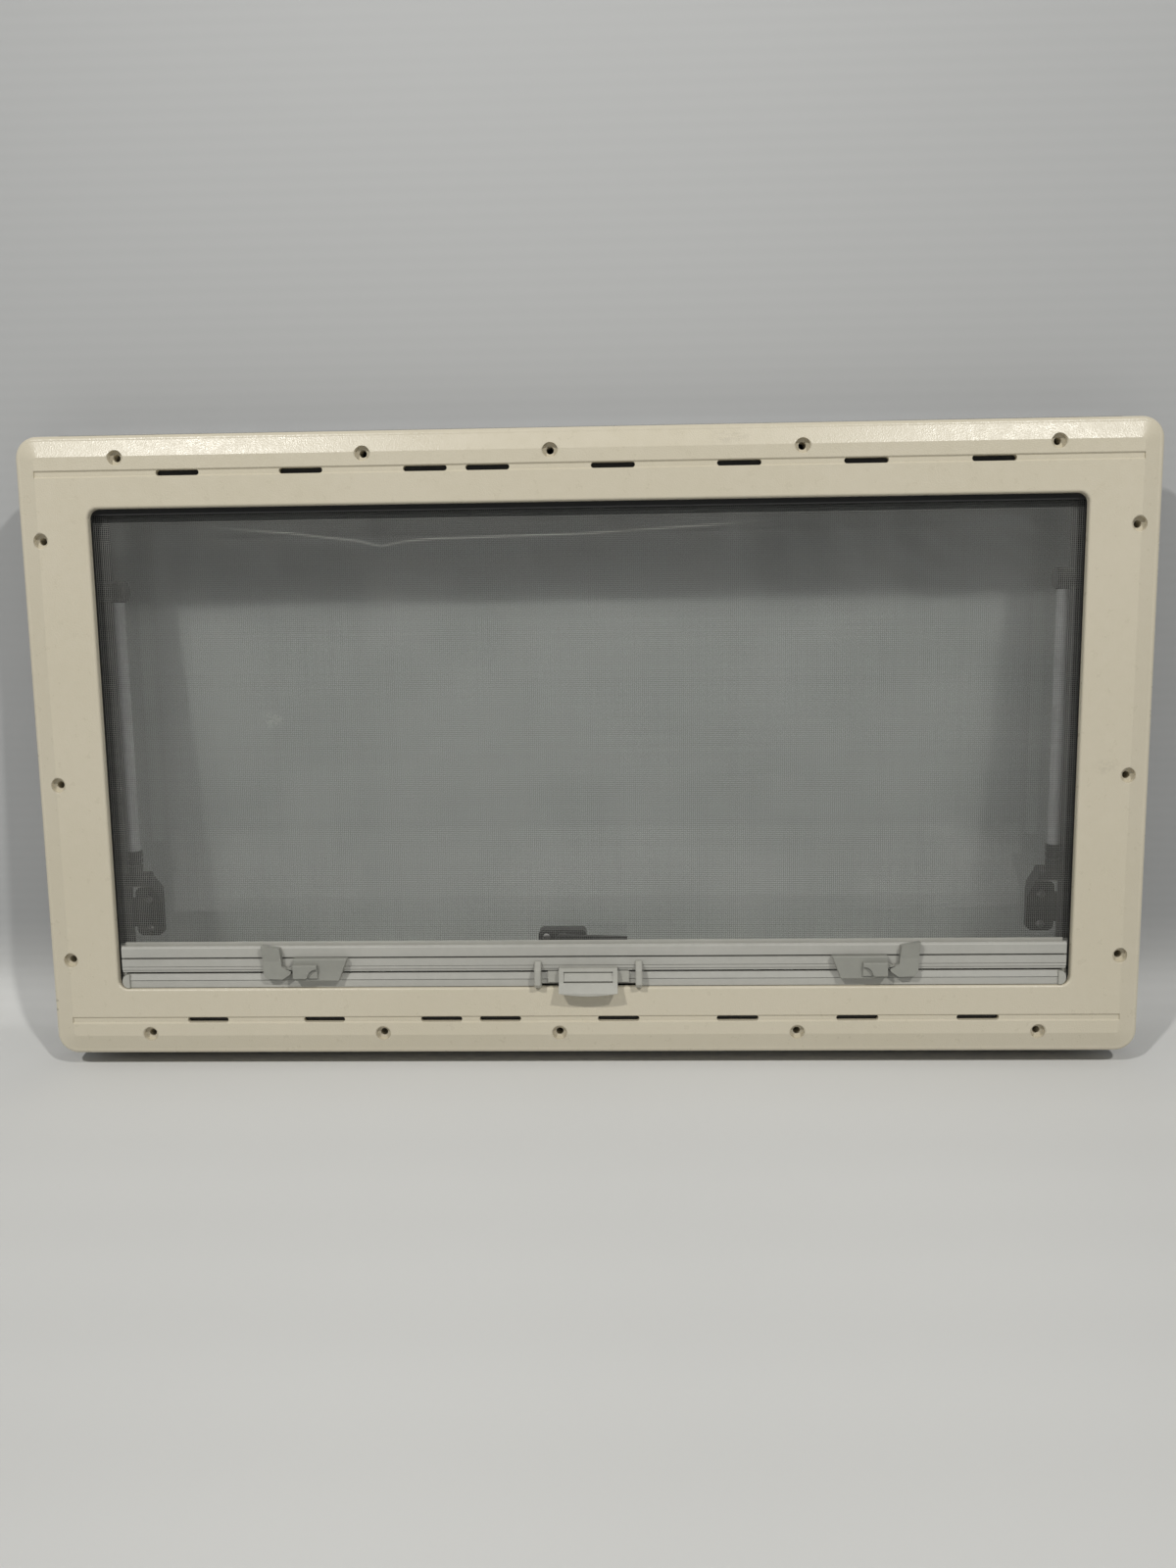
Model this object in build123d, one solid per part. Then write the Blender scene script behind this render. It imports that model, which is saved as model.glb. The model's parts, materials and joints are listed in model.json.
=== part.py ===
from build123d import *
import os

# Top-hung caravan window with its inner frame, flyscreen and blind.
# Millimetres, X to the right seen from indoors, Y towards outdoors, Z up.
# All pieces are built about the middle of the opening, with Y zero on the outer wall skin,
# and are lifted at the end so that Z zero is the lower edge of the wall cut-out.

# Wall and openings
CUTOUT_WIDTH = 900.0
CUTOUT_HEIGHT = 500.0
WALL = 30.0
BORDER = 50.0
LIGHT_RADIUS = 8.0

# Inner frame moulding
RIM_OVERLAP = 8.5
RIM_DEPTH = 22.0
RIM_RADIUS = 18.0
RIM_ROLL = 4.5
BEVEL_RUN = 13.0
BEVEL_RISE = 4.0
BEVEL_CORNER = 3.0
FACE_THICK = 6.0
LIGHT_EDGE_FILLET = 2.2
WELL_RADIUS = 3.0
REBATE = 1.0
REBATE_CLEAR = 0.5
CHANNEL_OFFSET = 27.5
CHANNEL_HEIGHT = 6.0
CHANNEL_DEPTH = 1.3
CHANNEL_SLOPE = 1.2
CHANNEL_END = 17.0
SLOT_LENGTH = 35.0
SLOT_HEIGHT = 4.6

# Screw holes of the inner frame, in from the edge of the wall cut-out
HOLE_INSET = 10.0
HOLE_DIAMETER = 6.0
HEAD_DIAMETER = 12.0
HEAD_DEPTH = 6.0
HEAD_CHAMFER = 0.8
SOCKET_DIAMETER = 6.6
SOCKET_DEPTH = 20.0

# Outer frame moulding
CUTOUT_CLEAR = 2.0
SLEEVE_THICK = 16.0
FLANGE_OVERLAP = 16.0
FLANGE_THICK = 8.0
FLANGE_RADIUS = 24.0
FLANGE_EDGE = 3.0
LIP_WIDTH = 10.0
LIP_SIDE = 24.0
LIP_INSIDE = 6.0
WEEP_LENGTH = 24.0
WEEP_HEIGHT = 3.0

# Pane, seal and hinge
SEAL_WIDTH = 10.0
SEAL_HEIGHT = 6.0
SEAL_INSET = 4.0
SEAL_BULB = 2.5
PANE_SIDE_GAP = 8.0
PANE_BOTTOM_GAP = 4.0
PANE_TOP_GAP = 15.0
PANE_RADIUS = 22.0
SHEET_THICK = 3.0
SHEET_EDGE = 1.4
BOND = 0.4
DOME_DEPTH = 4.0
DOME_RUN = 45.0
DOME_SIDE = 38.0
DOME_HEAD = 10.0
DOME_SILL = 50.0
DOME_RADIUS = 56.0
HINGE_INSET = 10.0
BEAD_RADIUS = 3.0
BEAD_NECK = 2.4
BEAD_CLEAR = 0.4
HINGE_WALL = 2.4
HINGE_MOUTH = 4.4
HINGE_LEG = 8.0
GRIP_DEPTH = 4.5
GRIP_WALL = 2.0
GRIP_CLEAR = 0.6

# Cassettes, rollers and guides behind the face of the inner frame
FIT = 1.0
CASSETTE_DEPTH = 32.0
CASSETTE_WALL = 2.0
CASSETTE_LIP = 5.0
CASSETTE_EDGE = 4.0
SLIT = 5.0
ROLLER_RADIUS = 11.0
JOURNAL_RADIUS = 4.0
GUIDE_WALL = 1.6
GUIDE_CHANNEL = 9.4
GUIDE_LIP = 1.0
GUIDE_TURN = 3.0

# Rails at the foot of the opening
RAIL_FRONT = 2.0
RAIL_THICK = 12.0
RAIL_GAP = 3.5
RAIL_EDGE = 1.4
SCREEN_RAIL_TOP = 36.6
RAIL_TOP_BEVEL = 1.8
RAIL_TOP_FALL = 3.4
SCREEN_RAIL_HEIGHT = 22.6
RAIL_GROOVE_DROP = 9.8
RAIL_GROOVE_HEIGHT = 1.5
RAIL_GROOVE_DEPTH = 3.2
RAIL_FOOT_HEIGHT = 2.2
RAIL_FOOT_DEPTH = 0.8
RAIL_LINE = 0.5
BLIND_RAIL_TOP = 12.2
BLIND_RAIL_FOOT = 0.6
RELIEF_HEIGHT = 2.4
RELIEF_DEPTH = 6.0
BLIND_STEP = 6.4
BLIND_STEP_DEPTH = 0.6
BLIND_TILT = 1.6
SLIDER_REACH = 16.0
SLIDER_PLAY = 0.4
SLIDER_TRIM = 1.0
SLIDER_EDGE = 1.5
CAP_WIDTH = 12.0
CAP_PROUD = 1.2
CAP_CORNER = 5.2
MESH_THICK = 1.0
KEDER_DEPTH = 7.0

# Pull handle, as reach in front of the blind rail and height above the foot of the opening
HANDLE_WIDTH = 49.0
HANDLE_TOP = 17.5
HANDLE_TOP_REACH = 7.4
HANDLE_BROW = 1.6
HANDLE_FACE_REACH = 10.5
HANDLE_SILL = 6.0
HANDLE_LIP_REACH = 15.0
HANDLE_LIP_DROP = 1.6
HANDLE_BOW = 2.2
HANDLE_LIP_THICK = 3.4
HANDLE_ROOT = 4.5
HANDLE_BACK_CLEAR = 0.4
PANEL_WIDTH = 41.0
PANEL_TOP = 15.0
PANEL_TOP_REACH = 5.6
PANEL_FOOT = 7.2
PANEL_FOOT_REACH = 9.4
PANEL_SLOT = 1.0
PANEL_SLOT_FLOOR = 5.0
SIDE_PLATE_WIDTH = 68.0
SIDE_PLATE_TOP = 14.0
SIDE_PLATE_FOOT = 4.6
SIDE_PLATE_THICK = 1.8

# Fins beside the handle, measured the same way
FIN_X = 42.3
FIN_WIDTH = 5.6
FIN_REACH = 10.5
FIN_TOP = 22.5
FIN_TOP_REACH = 2.0
FIN_SHOULDER = 15.8
FIN_SHOULDER_REACH = 9.0
FIN_FOOT = 0.8
FIN_TAPER = 4.4
FIN_TAPER_REACH = 6.0
FIN_EDGE = 0.8

# Claw hooks and catches, left-hand outlines about the catch position
CATCH_SIDE = 175.0
HOOK_REACH = 7.0
HOOK_EDGE = 0.6
HOOK_CREASE = 24.6
HOOK_CREASE_REACH = 5.0
HOOK_FOOT_REACH = 6.6
HOOK_OUTLINE = [
    (-50.0, 38.5), (-34.5, 35.2), (-33.2, 19.8), (-29.5, 17.6), (-25.2, 15.6),
    (-26.4, 13.2), (-32.5, 9.0), (-46.0, 9.4), (-48.6, 13.0)]
CATCH_REACH = 6.0
CATCH_EDGE = 0.8
CATCH_OUTLINE = [(-23.5, 26.5), (22.5, 26.5), (15.0, 7.6), (-21.5, 7.6), (-23.5, 9.6)]
TAB_LEFT = -23.0
TAB_RIGHT = -2.6
TAB_TOP = 22.0
TAB_FOOT = 10.4
TAB_REACH = 10.0
TAB_EDGE = 0.7
TAB_SCOOP_RADIUS = 8.4
TAB_SCOOP_DEPTH = 2.4
TAB_NOTCH_RADIUS = 1.1
STEM_LOW_REACH = 1.6
STEM_TOP = 20.4
STEM_FOOT = 16.9
STEM_LENGTH = 16.0
STEM_PLAY = 0.2
NOSE_REACH = 5.4

# Stays
STAY_SIDE = 4.0
STAY_HEAD = 74.0
STAY_SILL = 112.0
STAY_DEPTH = 40.0
TUBE_DIAMETER = 10.0
TUBE_WALL = 1.0
ROD_OVERLAP = 90.0
ROD_SOCKET = 12.0
PIN_RADIUS = 3.0
PIN_CLEAR = 0.1
EYE_RADIUS = 8.5
EYE_WIDTH = 14.0
COLLAR_RADIUS = 6.2
COLLAR_LENGTH = 0.8
EYE_CHAMFER = 0.8
PIVOT_PLATE = 4.0
PIVOT_HALF = 15.0
PIVOT_BOSS = 5.8
PIVOT_PLAY = 0.4
FOOT_LENGTH = 18.0
FOOT_RADIUS = 6.6
FOOT_EYE_RADIUS = 6.8
FOOT_EYE_DROP = 25.0
FLAT_COUNT = 12
RING_COUNT = 2
RING_WIDTH = 1.8
RING_PITCH = 5.4
RING_DEPTH = 1.2
BRACKET_WIDTH = 24.0
BRACKET_THICK = 5.0
BRACKET_HEIGHT = 44.0
BRACKET_CORNER = 6.0
BRACKET_RISE = -12.0
BRACKET_SHIFT = 1.5
LUG_THICK = 6.0
LUG_FOOT = 30.0
WING_REACH = 10.0
WING_TOP = 34.0
WING_FOOT = 8.0

# Turn latch
LATCH_X = -24.0
LATCH_WIDTH = 42.0
LATCH_RISE = 36.0
LATCH_DROP = 5.0
LATCH_HEIGHT = 16.0
LATCH_CORNER = 4.0
LATCH_EDGE = 1.6
LEVER_THICK = 5.0
LEVER_RISE = 27.5
LEVER_REACH = 57.0
LEVER_ROOT = 6.5
LEVER_TIP = 4.5
LEVER_EDGE = 1.0
TONGUE_HALF = 7.0
TONGUE_BITE = 6.0
PIVOT_RADIUS = 6.5

# Derived planes and sizes
SKIN = 0.0
SEAT = SKIN - WALL
FACE = SEAT - RIM_DEPTH
FACE_BACK = FACE + FACE_THICK
SLEEVE_END = SEAT - REBATE
LIGHT_WIDTH = CUTOUT_WIDTH - 2 * BORDER
LIGHT_HEIGHT = CUTOUT_HEIGHT - 2 * BORDER
LIGHT_FOOT = -LIGHT_HEIGHT / 2
GRID_X = LIGHT_WIDTH / 8
GRID_Z = LIGHT_HEIGHT / 4
RIM_WIDTH = CUTOUT_WIDTH + 2 * RIM_OVERLAP
RIM_HEIGHT = CUTOUT_HEIGHT + 2 * RIM_OVERLAP
SLEEVE_WIDTH = CUTOUT_WIDTH - 2 * CUTOUT_CLEAR
SLEEVE_HEIGHT = CUTOUT_HEIGHT - 2 * CUTOUT_CLEAR
WELL_WIDTH = SLEEVE_WIDTH - 2 * SLEEVE_THICK
WELL_HEIGHT = SLEEVE_HEIGHT - 2 * SLEEVE_THICK
FLANGE_WIDTH = CUTOUT_WIDTH + 2 * FLANGE_OVERLAP
FLANGE_HEIGHT = CUTOUT_HEIGHT + 2 * FLANGE_OVERLAP
LIP_OPEN_WIDTH = WELL_WIDTH - 2 * LIP_SIDE
LIP_OPEN_HEIGHT = WELL_HEIGHT - 2 * LIP_WIDTH
LIP_FACE = SKIN - LIP_INSIDE
FLANGE_FACE = SKIN + FLANGE_THICK
PANE_SEAT = FLANGE_FACE + SEAL_HEIGHT
PANE_MID = PANE_SEAT + SHEET_THICK
PANE_OUT = PANE_MID + BOND
PANE_BACK = PANE_OUT + SHEET_THICK
PANE_WIDTH = FLANGE_WIDTH - 2 * PANE_SIDE_GAP
PANE_TOP = FLANGE_HEIGHT / 2 - PANE_TOP_GAP
PANE_FOOT = -FLANGE_HEIGHT / 2 + PANE_BOTTOM_GAP
PANE_HEIGHT = PANE_TOP - PANE_FOOT
PANE_Z = (PANE_TOP + PANE_FOOT) / 2
DOME_WIDTH = LIGHT_WIDTH - 2 * DOME_SIDE
DOME_HEIGHT = LIGHT_HEIGHT - DOME_HEAD - DOME_SILL
DOME_Z = (DOME_SILL - DOME_HEAD) / 2
HINGE_HALF = PANE_WIDTH / 2 - HINGE_INSET
BEAD_Y = (PANE_SEAT + PANE_BACK) / 2
BEAD_Z = PANE_TOP + GRIP_WALL + GRIP_CLEAR + HINGE_WALL + BEAD_CLEAR + BEAD_RADIUS
GUIDE_FRONT = FACE_BACK + GUIDE_WALL
GUIDE_BACK = GUIDE_FRONT + GUIDE_CHANNEL
GUIDE_OUT = WELL_WIDTH / 2 - FIT
GUIDE_IN = LIGHT_WIDTH / 2 - GUIDE_LIP
MESH_Y = (GUIDE_FRONT + GUIDE_BACK) / 2
CASSETTE_BACK = FACE_BACK + CASSETTE_DEPTH
CASSETTE_OUT = WELL_HEIGHT / 2 - FIT
CASSETTE_TOP_IN = LIGHT_HEIGHT / 2 - CASSETTE_LIP
CASSETTE_FOOT_IN = LIGHT_HEIGHT / 2 + FIT
CASSETTE_HALF = GUIDE_IN - FIT
ROLLER_Z = CASSETTE_OUT - CASSETTE_WALL - ROLLER_RADIUS - FIT
ROLLER_Y = MESH_Y + MESH_THICK / 2 + ROLLER_RADIUS
ROLLER_HALF = CASSETTE_HALF - CASSETTE_WALL - FIT
RAIL_HALF = LIGHT_WIDTH / 2 - RAIL_GAP
RAIL_Y = FACE + RAIL_FRONT
RAIL_BACK = RAIL_Y + RAIL_THICK
SCREEN_TOP_Z = LIGHT_FOOT + SCREEN_RAIL_TOP
SCREEN_FOOT_Z = SCREEN_TOP_Z - SCREEN_RAIL_HEIGHT
BLIND_TOP_Z = LIGHT_FOOT + BLIND_RAIL_TOP
BLIND_FOOT_Z = LIGHT_FOOT + BLIND_RAIL_FOOT
CATCH_X = CATCH_SIDE - LIGHT_WIDTH / 2
STAY_X = LIGHT_WIDTH / 2 - STAY_SIDE
STAY_Y = FACE + STAY_DEPTH
STAY_TOP = LIGHT_HEIGHT / 2 - STAY_HEAD
STAY_FOOT = LIGHT_FOOT + STAY_SILL
EYE_Z = STAY_TOP + COLLAR_LENGTH + EYE_RADIUS
FOOT_EYE_Z = STAY_FOOT - FOOT_EYE_DROP
LATCH_FACE = PANE_SEAT - LATCH_HEIGHT
LATCH_TOP = LIGHT_FOOT + LATCH_RISE
LATCH_FOOT = LIGHT_FOOT - LATCH_DROP
LEVER_Z = LIGHT_FOOT + LEVER_RISE
LIFT = CUTOUT_HEIGHT / 2

# Screw and vent positions, in steps of the moulding's grid
ROW_Z = CUTOUT_HEIGHT / 2 - HOLE_INSET
COLUMN_X = CUTOUT_WIDTH / 2 - HOLE_INSET
ROW_X = [step * GRID_X for step in (-3.75, -1.75, -0.25, 1.75, 3.75)]
COLUMN_Z = [step * GRID_Z for step in (1.75, -0.25, -1.75)]
SLOT_X = [step * GRID_X for step in (-3.25, -2.25, -1.25, -0.75, 0.25, 1.25, 2.25, 3.25)]
SCREWS = [(x, side * ROW_Z) for side in (1, -1) for x in ROW_X]
SCREWS += [(side * COLUMN_X, z) for side in (-1, 1) for z in COLUMN_Z]

os.makedirs("parts", exist_ok=True)


# Shape helpers
def slab(sketch, y_front, y_back):
    """Push an X-Z sketch from y_back to y_front."""
    return extrude(Plane.XZ.offset(-y_back) * sketch, amount=y_back - y_front)


def bar(sketch, x_low, x_high):
    """Push a Y-Z sketch along X."""
    return extrude(Plane.YZ.offset(x_low) * sketch, amount=x_high - x_low)


def block(x_low, x_high, y_low, y_high, z_low, z_high):
    """A plain box given by its six planes."""
    centre = Pos((x_low + x_high) / 2, (y_low + y_high) / 2, (z_low + z_high) / 2)
    return centre * Box(x_high - x_low, y_high - y_low, z_high - z_low)


def section(points):
    """A closed flat shape through the points."""
    return make_face(Polyline(*points, close=True))


def area(low, high):
    """A rectangle between two corners."""
    middle = Pos((low[0] + high[0]) / 2, (low[1] + high[1]) / 2)
    return middle * Rectangle(high[0] - low[0], high[1] - low[1])


def ring(width, height, radius, inset):
    """A rounded rectangular ring, inset wide."""
    outer = RectangleRounded(width, height, radius)
    return outer - RectangleRounded(width - 2 * inset, height - 2 * inset, radius - inset)


def drill(x, z, diameter, y_front, y_back):
    """A round cutter along Y."""
    return slab(Pos(x, z) * Circle(diameter / 2), y_front, y_back)


def post(x, y, radius, z_low, z_high):
    """A round bar along Z."""
    return extrude(Plane.XY.offset(z_low) * (Pos(x, y) * Circle(radius)), amount=z_high - z_low)


def axle(y, z, radius, x_low, x_high):
    """A round bar along X."""
    return bar(Pos(y, z) * Circle(radius), x_low, x_high)


def reach_section(points):
    """A Y-Z shape given as reach in front of the rails and height above the opening's foot."""
    return section([(RAIL_Y - reach, LIGHT_FOOT + height) for reach, height in points])


def front_outline(points):
    """An X-Z shape about the catch position, with heights above the opening's foot."""
    return section([(CATCH_X + x, LIGHT_FOOT + height) for x, height in points])


def face_at(shape, y):
    """The flat face that lies in the X-Z plane nearest to y."""
    return shape.faces().filter_by(Plane.XZ).sort_by(lambda item: abs(item.center().Y - y))[0]


def soften(shape, y, radius):
    """Round the edges of the flat face at y."""
    return fillet(face_at(shape, y).edges(), radius)


def bevelled(shape, y, size):
    """Bevel the edges of the flat face at y."""
    return chamfer(face_at(shape, y).edges(), size)


def save(name, shape):
    """Lift a piece to the sill and write it as one named solid."""
    placed = Pos(0, 0, LIFT) * shape
    placed.label = name
    export_step(placed, f"parts/{name}.step")


def save_pair(name, shape):
    """Write a left-hand piece and its mirror image."""
    save(f"left_{name}", shape)
    save(f"right_{name}", mirror(shape, about=Plane.YZ))


# Inner frame
def make_inner_frame():
    """Bevelled moulding with a face plate, screw holes, channels and vent slots."""
    shoulder = FACE + BEVEL_RISE
    rim = slab(RectangleRounded(RIM_WIDTH, RIM_HEIGHT, RIM_RADIUS), shoulder, SEAT)
    rim = soften(rim, shoulder, RIM_ROLL)
    low = Plane.XZ.offset(-shoulder) * RectangleRounded(
        RIM_WIDTH - 2 * RIM_ROLL, RIM_HEIGHT - 2 * RIM_ROLL, RIM_RADIUS - RIM_ROLL)
    inset = 2 * RIM_ROLL + 2 * BEVEL_RUN
    high = Plane.XZ.offset(-FACE) * RectangleRounded(RIM_WIDTH - inset, RIM_HEIGHT - inset, BEVEL_CORNER)
    body = rim + loft([low.face(), high.face()], ruled=True)
    body -= slab(RectangleRounded(LIGHT_WIDTH, LIGHT_HEIGHT, LIGHT_RADIUS), FACE - FIT, SEAT + FIT)
    front = body.faces().filter_by(Plane.XZ).sort_by(Axis.Y)[0]
    body = fillet(front.inner_wires()[0].edges(), LIGHT_EDGE_FILLET)
    body -= slab(RectangleRounded(WELL_WIDTH, WELL_HEIGHT, WELL_RADIUS), FACE_BACK, SEAT + FIT)
    rebate = RectangleRounded(SLEEVE_WIDTH + 2 * REBATE_CLEAR, SLEEVE_HEIGHT + 2 * REBATE_CLEAR, RIM_RADIUS)
    body -= slab(rebate, SLEEVE_END, SEAT + FIT)
    for side in (1, -1):
        z = side * (LIGHT_HEIGHT / 2 + CHANNEL_OFFSET)
        mouth_half = CHANNEL_HEIGHT / 2
        floor_half = mouth_half - CHANNEL_SLOPE
        channel = section([
            (FACE - FIT, z + mouth_half), (FACE, z + mouth_half), (FACE + CHANNEL_DEPTH, z + floor_half),
            (FACE + CHANNEL_DEPTH, z - floor_half), (FACE, z - mouth_half), (FACE - FIT, z - mouth_half)])
        body -= bar(channel, CHANNEL_END - RIM_WIDTH / 2, RIM_WIDTH / 2 - CHANNEL_END)
        for x in SLOT_X:
            body -= slab(Pos(x, z) * SlotOverall(SLOT_LENGTH, SLOT_HEIGHT), FACE - FIT, FACE_BACK + FIT)
    mouth = Cone(HEAD_DIAMETER / 2, HEAD_DIAMETER / 2 + 2 * HEAD_CHAMFER, 2 * HEAD_CHAMFER)
    for x, z in SCREWS:
        body -= drill(x, z, HOLE_DIAMETER, FACE - FIT, SEAT + FIT)
        body -= drill(x, z, HEAD_DIAMETER, FACE - FIT, FACE + HEAD_DEPTH)
        body -= Pos(x, FACE, z) * Rot(90, 0, 0) * mouth
    return body


# Outer frame
def make_outer_frame():
    """Flange, sleeve and inner lip in one moulding, with sockets for the screws and weep slots."""
    flange = slab(RectangleRounded(FLANGE_WIDTH, FLANGE_HEIGHT, FLANGE_RADIUS), SKIN, FLANGE_FACE)
    flange = bevelled(flange, FLANGE_FACE, FLANGE_EDGE)
    body = flange + slab(RectangleRounded(SLEEVE_WIDTH, SLEEVE_HEIGHT, RIM_RADIUS), SLEEVE_END, SKIN)
    body -= slab(RectangleRounded(WELL_WIDTH, WELL_HEIGHT, WELL_RADIUS), SLEEVE_END - FIT, LIP_FACE)
    body -= slab(RectangleRounded(LIP_OPEN_WIDTH, LIP_OPEN_HEIGHT, LIGHT_RADIUS), SLEEVE_END, FLANGE_FACE + FIT)
    for x, z in SCREWS:
        body -= drill(x, z, SOCKET_DIAMETER, SLEEVE_END - FIT, SLEEVE_END + SOCKET_DEPTH)
    for side in (-1, 1):
        slot = Pos(side * 2 * GRID_X, -WELL_HEIGHT / 2 + WEEP_HEIGHT) * SlotOverall(WEEP_LENGTH, WEEP_HEIGHT)
        body -= slab(slot, LIP_FACE - FIT, FLANGE_FACE + FIT)
    return body


# Pane and seal
def make_seal():
    """Rubber ring between the flange and the pane, with a narrowed crown."""
    width = WELL_WIDTH + 2 * (SEAL_INSET + SEAL_WIDTH)
    height = WELL_HEIGHT + 2 * (SEAL_INSET + SEAL_WIDTH)
    body = slab(ring(width, height, RIM_RADIUS, SEAL_WIDTH), FLANGE_FACE, PANE_SEAT)
    return bevelled(body, PANE_SEAT, SEAL_BULB)


def dome(inset, y_front, y_back):
    """Tray shape of the inner sheet, shrunk by inset."""
    width = DOME_WIDTH - 2 * inset
    height = DOME_HEIGHT - 2 * inset
    radius = DOME_RADIUS - inset
    mouth = Plane.XZ.offset(-y_back) * (Pos(0, DOME_Z) * RectangleRounded(width, height, radius))
    floor = Plane.XZ.offset(-y_front) * (Pos(0, DOME_Z) * RectangleRounded(
        width - 2 * DOME_RUN, height - 2 * DOME_RUN, radius - DOME_RUN))
    return loft([mouth.face(), floor.face()], ruled=True)


def make_inner_sheet():
    """Acrylic sheet drawn into a shallow tray towards the room."""
    sheet = slab(Pos(0, PANE_Z) * RectangleRounded(PANE_WIDTH, PANE_HEIGHT, PANE_RADIUS), PANE_SEAT, PANE_MID)
    sheet += dome(0.0, PANE_SEAT - DOME_DEPTH, PANE_SEAT)
    sheet -= dome(SHEET_THICK, PANE_MID - DOME_DEPTH, PANE_MID)
    return sheet


def make_outer_sheet():
    """Flat acrylic outer sheet with a bevelled edge, bonded to the inner one."""
    sheet = slab(Pos(0, PANE_Z) * RectangleRounded(PANE_WIDTH, PANE_HEIGHT, PANE_RADIUS), PANE_OUT, PANE_BACK)
    return bevelled(sheet, PANE_BACK, SHEET_EDGE)


# Hinge along the top
def make_pane_profile():
    """Profile that grips the pane's top edge and carries a bead."""
    grip = area((PANE_SEAT - GRIP_WALL, PANE_TOP - GRIP_DEPTH), (PANE_BACK + GRIP_WALL, PANE_TOP + GRIP_WALL))
    grip -= area((PANE_SEAT, PANE_TOP - GRIP_DEPTH - FIT), (PANE_BACK, PANE_TOP))
    neck = area((BEAD_Y - BEAD_NECK / 2, PANE_TOP), (BEAD_Y + BEAD_NECK / 2, BEAD_Z))
    bead = Pos(BEAD_Y, BEAD_Z) * Circle(BEAD_RADIUS)
    return bar(grip + neck + bead, -HINGE_HALF, HINGE_HALF)


def make_hinge_rail():
    """Aluminium profile on the flange that holds the bead."""
    inner = BEAD_RADIUS + BEAD_CLEAR
    outer = inner + HINGE_WALL
    bore = Pos(BEAD_Y, BEAD_Z) * Circle(inner)
    arm = area((FLANGE_FACE, BEAD_Z + inner - FIT), (BEAD_Y, BEAD_Z + outer))
    leg = area((FLANGE_FACE, BEAD_Z - HINGE_LEG), (FLANGE_FACE + HINGE_WALL, BEAD_Z + outer))
    shape = Pos(BEAD_Y, BEAD_Z) * Circle(outer) + arm + leg - bore
    shape -= area((BEAD_Y - HINGE_MOUTH / 2, BEAD_Z - 2 * outer), (BEAD_Y + HINGE_MOUTH / 2, BEAD_Z))
    return bar(shape, -HINGE_HALF, HINGE_HALF)


# Cassettes and rollers
def make_cassette(side, inner):
    """Box profile along the top or the foot of the opening, with a slit for the cloth."""
    low, high = sorted((side * inner, side * CASSETTE_OUT))
    shell = area((FACE_BACK, low), (CASSETTE_BACK, high))
    shell = fillet(shell.vertices().group_by(Axis.X)[-1], CASSETTE_EDGE)
    solid = bar(shell, -CASSETTE_HALF, CASSETTE_HALF)
    hollow = area(
        (FACE_BACK + CASSETTE_WALL, low + CASSETTE_WALL), (CASSETTE_BACK - CASSETTE_WALL, high - CASSETTE_WALL))
    solid -= bar(hollow, -CASSETTE_HALF + CASSETTE_WALL, CASSETTE_HALF - CASSETTE_WALL)
    mouth = sorted((side * (inner - FIT), side * (inner + CASSETTE_WALL + FIT)))
    slit = area((MESH_Y - SLIT / 2, mouth[0]), (MESH_Y + SLIT / 2, mouth[1]))
    solid -= bar(slit, -CASSETTE_HALF + CASSETTE_WALL, CASSETTE_HALF - CASSETTE_WALL)
    return solid - axle(ROLLER_Y, side * ROLLER_Z, JOURNAL_RADIUS, -CASSETTE_HALF - FIT, CASSETTE_HALF + FIT)


def make_roller(side):
    """Wound roller with a journal at each end."""
    body = axle(ROLLER_Y, side * ROLLER_Z, ROLLER_RADIUS, -ROLLER_HALF, ROLLER_HALF)
    return body + axle(ROLLER_Y, side * ROLLER_Z, JOURNAL_RADIUS, -CASSETTE_HALF, CASSETTE_HALF)


# Guides at the sides
def make_guide():
    """Left channel that the rails and the mesh run in, with turned-in lips."""
    outer = block(-GUIDE_OUT, -GUIDE_IN, FACE_BACK, GUIDE_BACK + GUIDE_WALL, -CASSETTE_OUT, CASSETTE_OUT)
    reach = CASSETTE_OUT + FIT
    hollow = block(-GUIDE_OUT + GUIDE_WALL, -GUIDE_IN + FIT, GUIDE_FRONT, GUIDE_BACK, -reach, reach)
    back_cut = block(-GUIDE_IN - GUIDE_TURN, -GUIDE_IN + FIT, GUIDE_BACK - FIT, GUIDE_BACK + 2 * GUIDE_WALL, -reach, reach)
    return outer - hollow - back_cut


# Rails
def make_screen_rail():
    """Flyscreen rail with a front groove, a foot lip and a keder slot."""
    shape = section([
        (RAIL_Y, SCREEN_FOOT_Z), (RAIL_Y, SCREEN_TOP_Z - RAIL_TOP_BEVEL), (RAIL_Y + RAIL_TOP_BEVEL, SCREEN_TOP_Z),
        (RAIL_BACK, SCREEN_TOP_Z - RAIL_TOP_FALL), (RAIL_BACK, SCREEN_FOOT_Z)])
    shape = fillet(shape.vertices(), RAIL_EDGE)
    groove = SCREEN_TOP_Z - RAIL_GROOVE_DROP
    shape -= area((RAIL_Y - FIT, groove - RAIL_GROOVE_HEIGHT), (RAIL_Y + RAIL_GROOVE_DEPTH, groove))
    foot = SCREEN_FOOT_Z + RAIL_FOOT_HEIGHT
    shape -= area((RAIL_Y - FIT, SCREEN_FOOT_Z - FIT), (RAIL_Y + RAIL_FOOT_DEPTH, foot))
    line = foot + RAIL_FOOT_HEIGHT
    shape -= area((RAIL_Y - FIT, line), (RAIL_Y + RAIL_LINE, line + RAIL_LINE))
    keder = area((MESH_Y - MESH_THICK / 2, SCREEN_TOP_Z - KEDER_DEPTH), (MESH_Y + MESH_THICK / 2, SCREEN_TOP_Z + FIT))
    return bar(shape - keder, -RAIL_HALF, RAIL_HALF)


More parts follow.
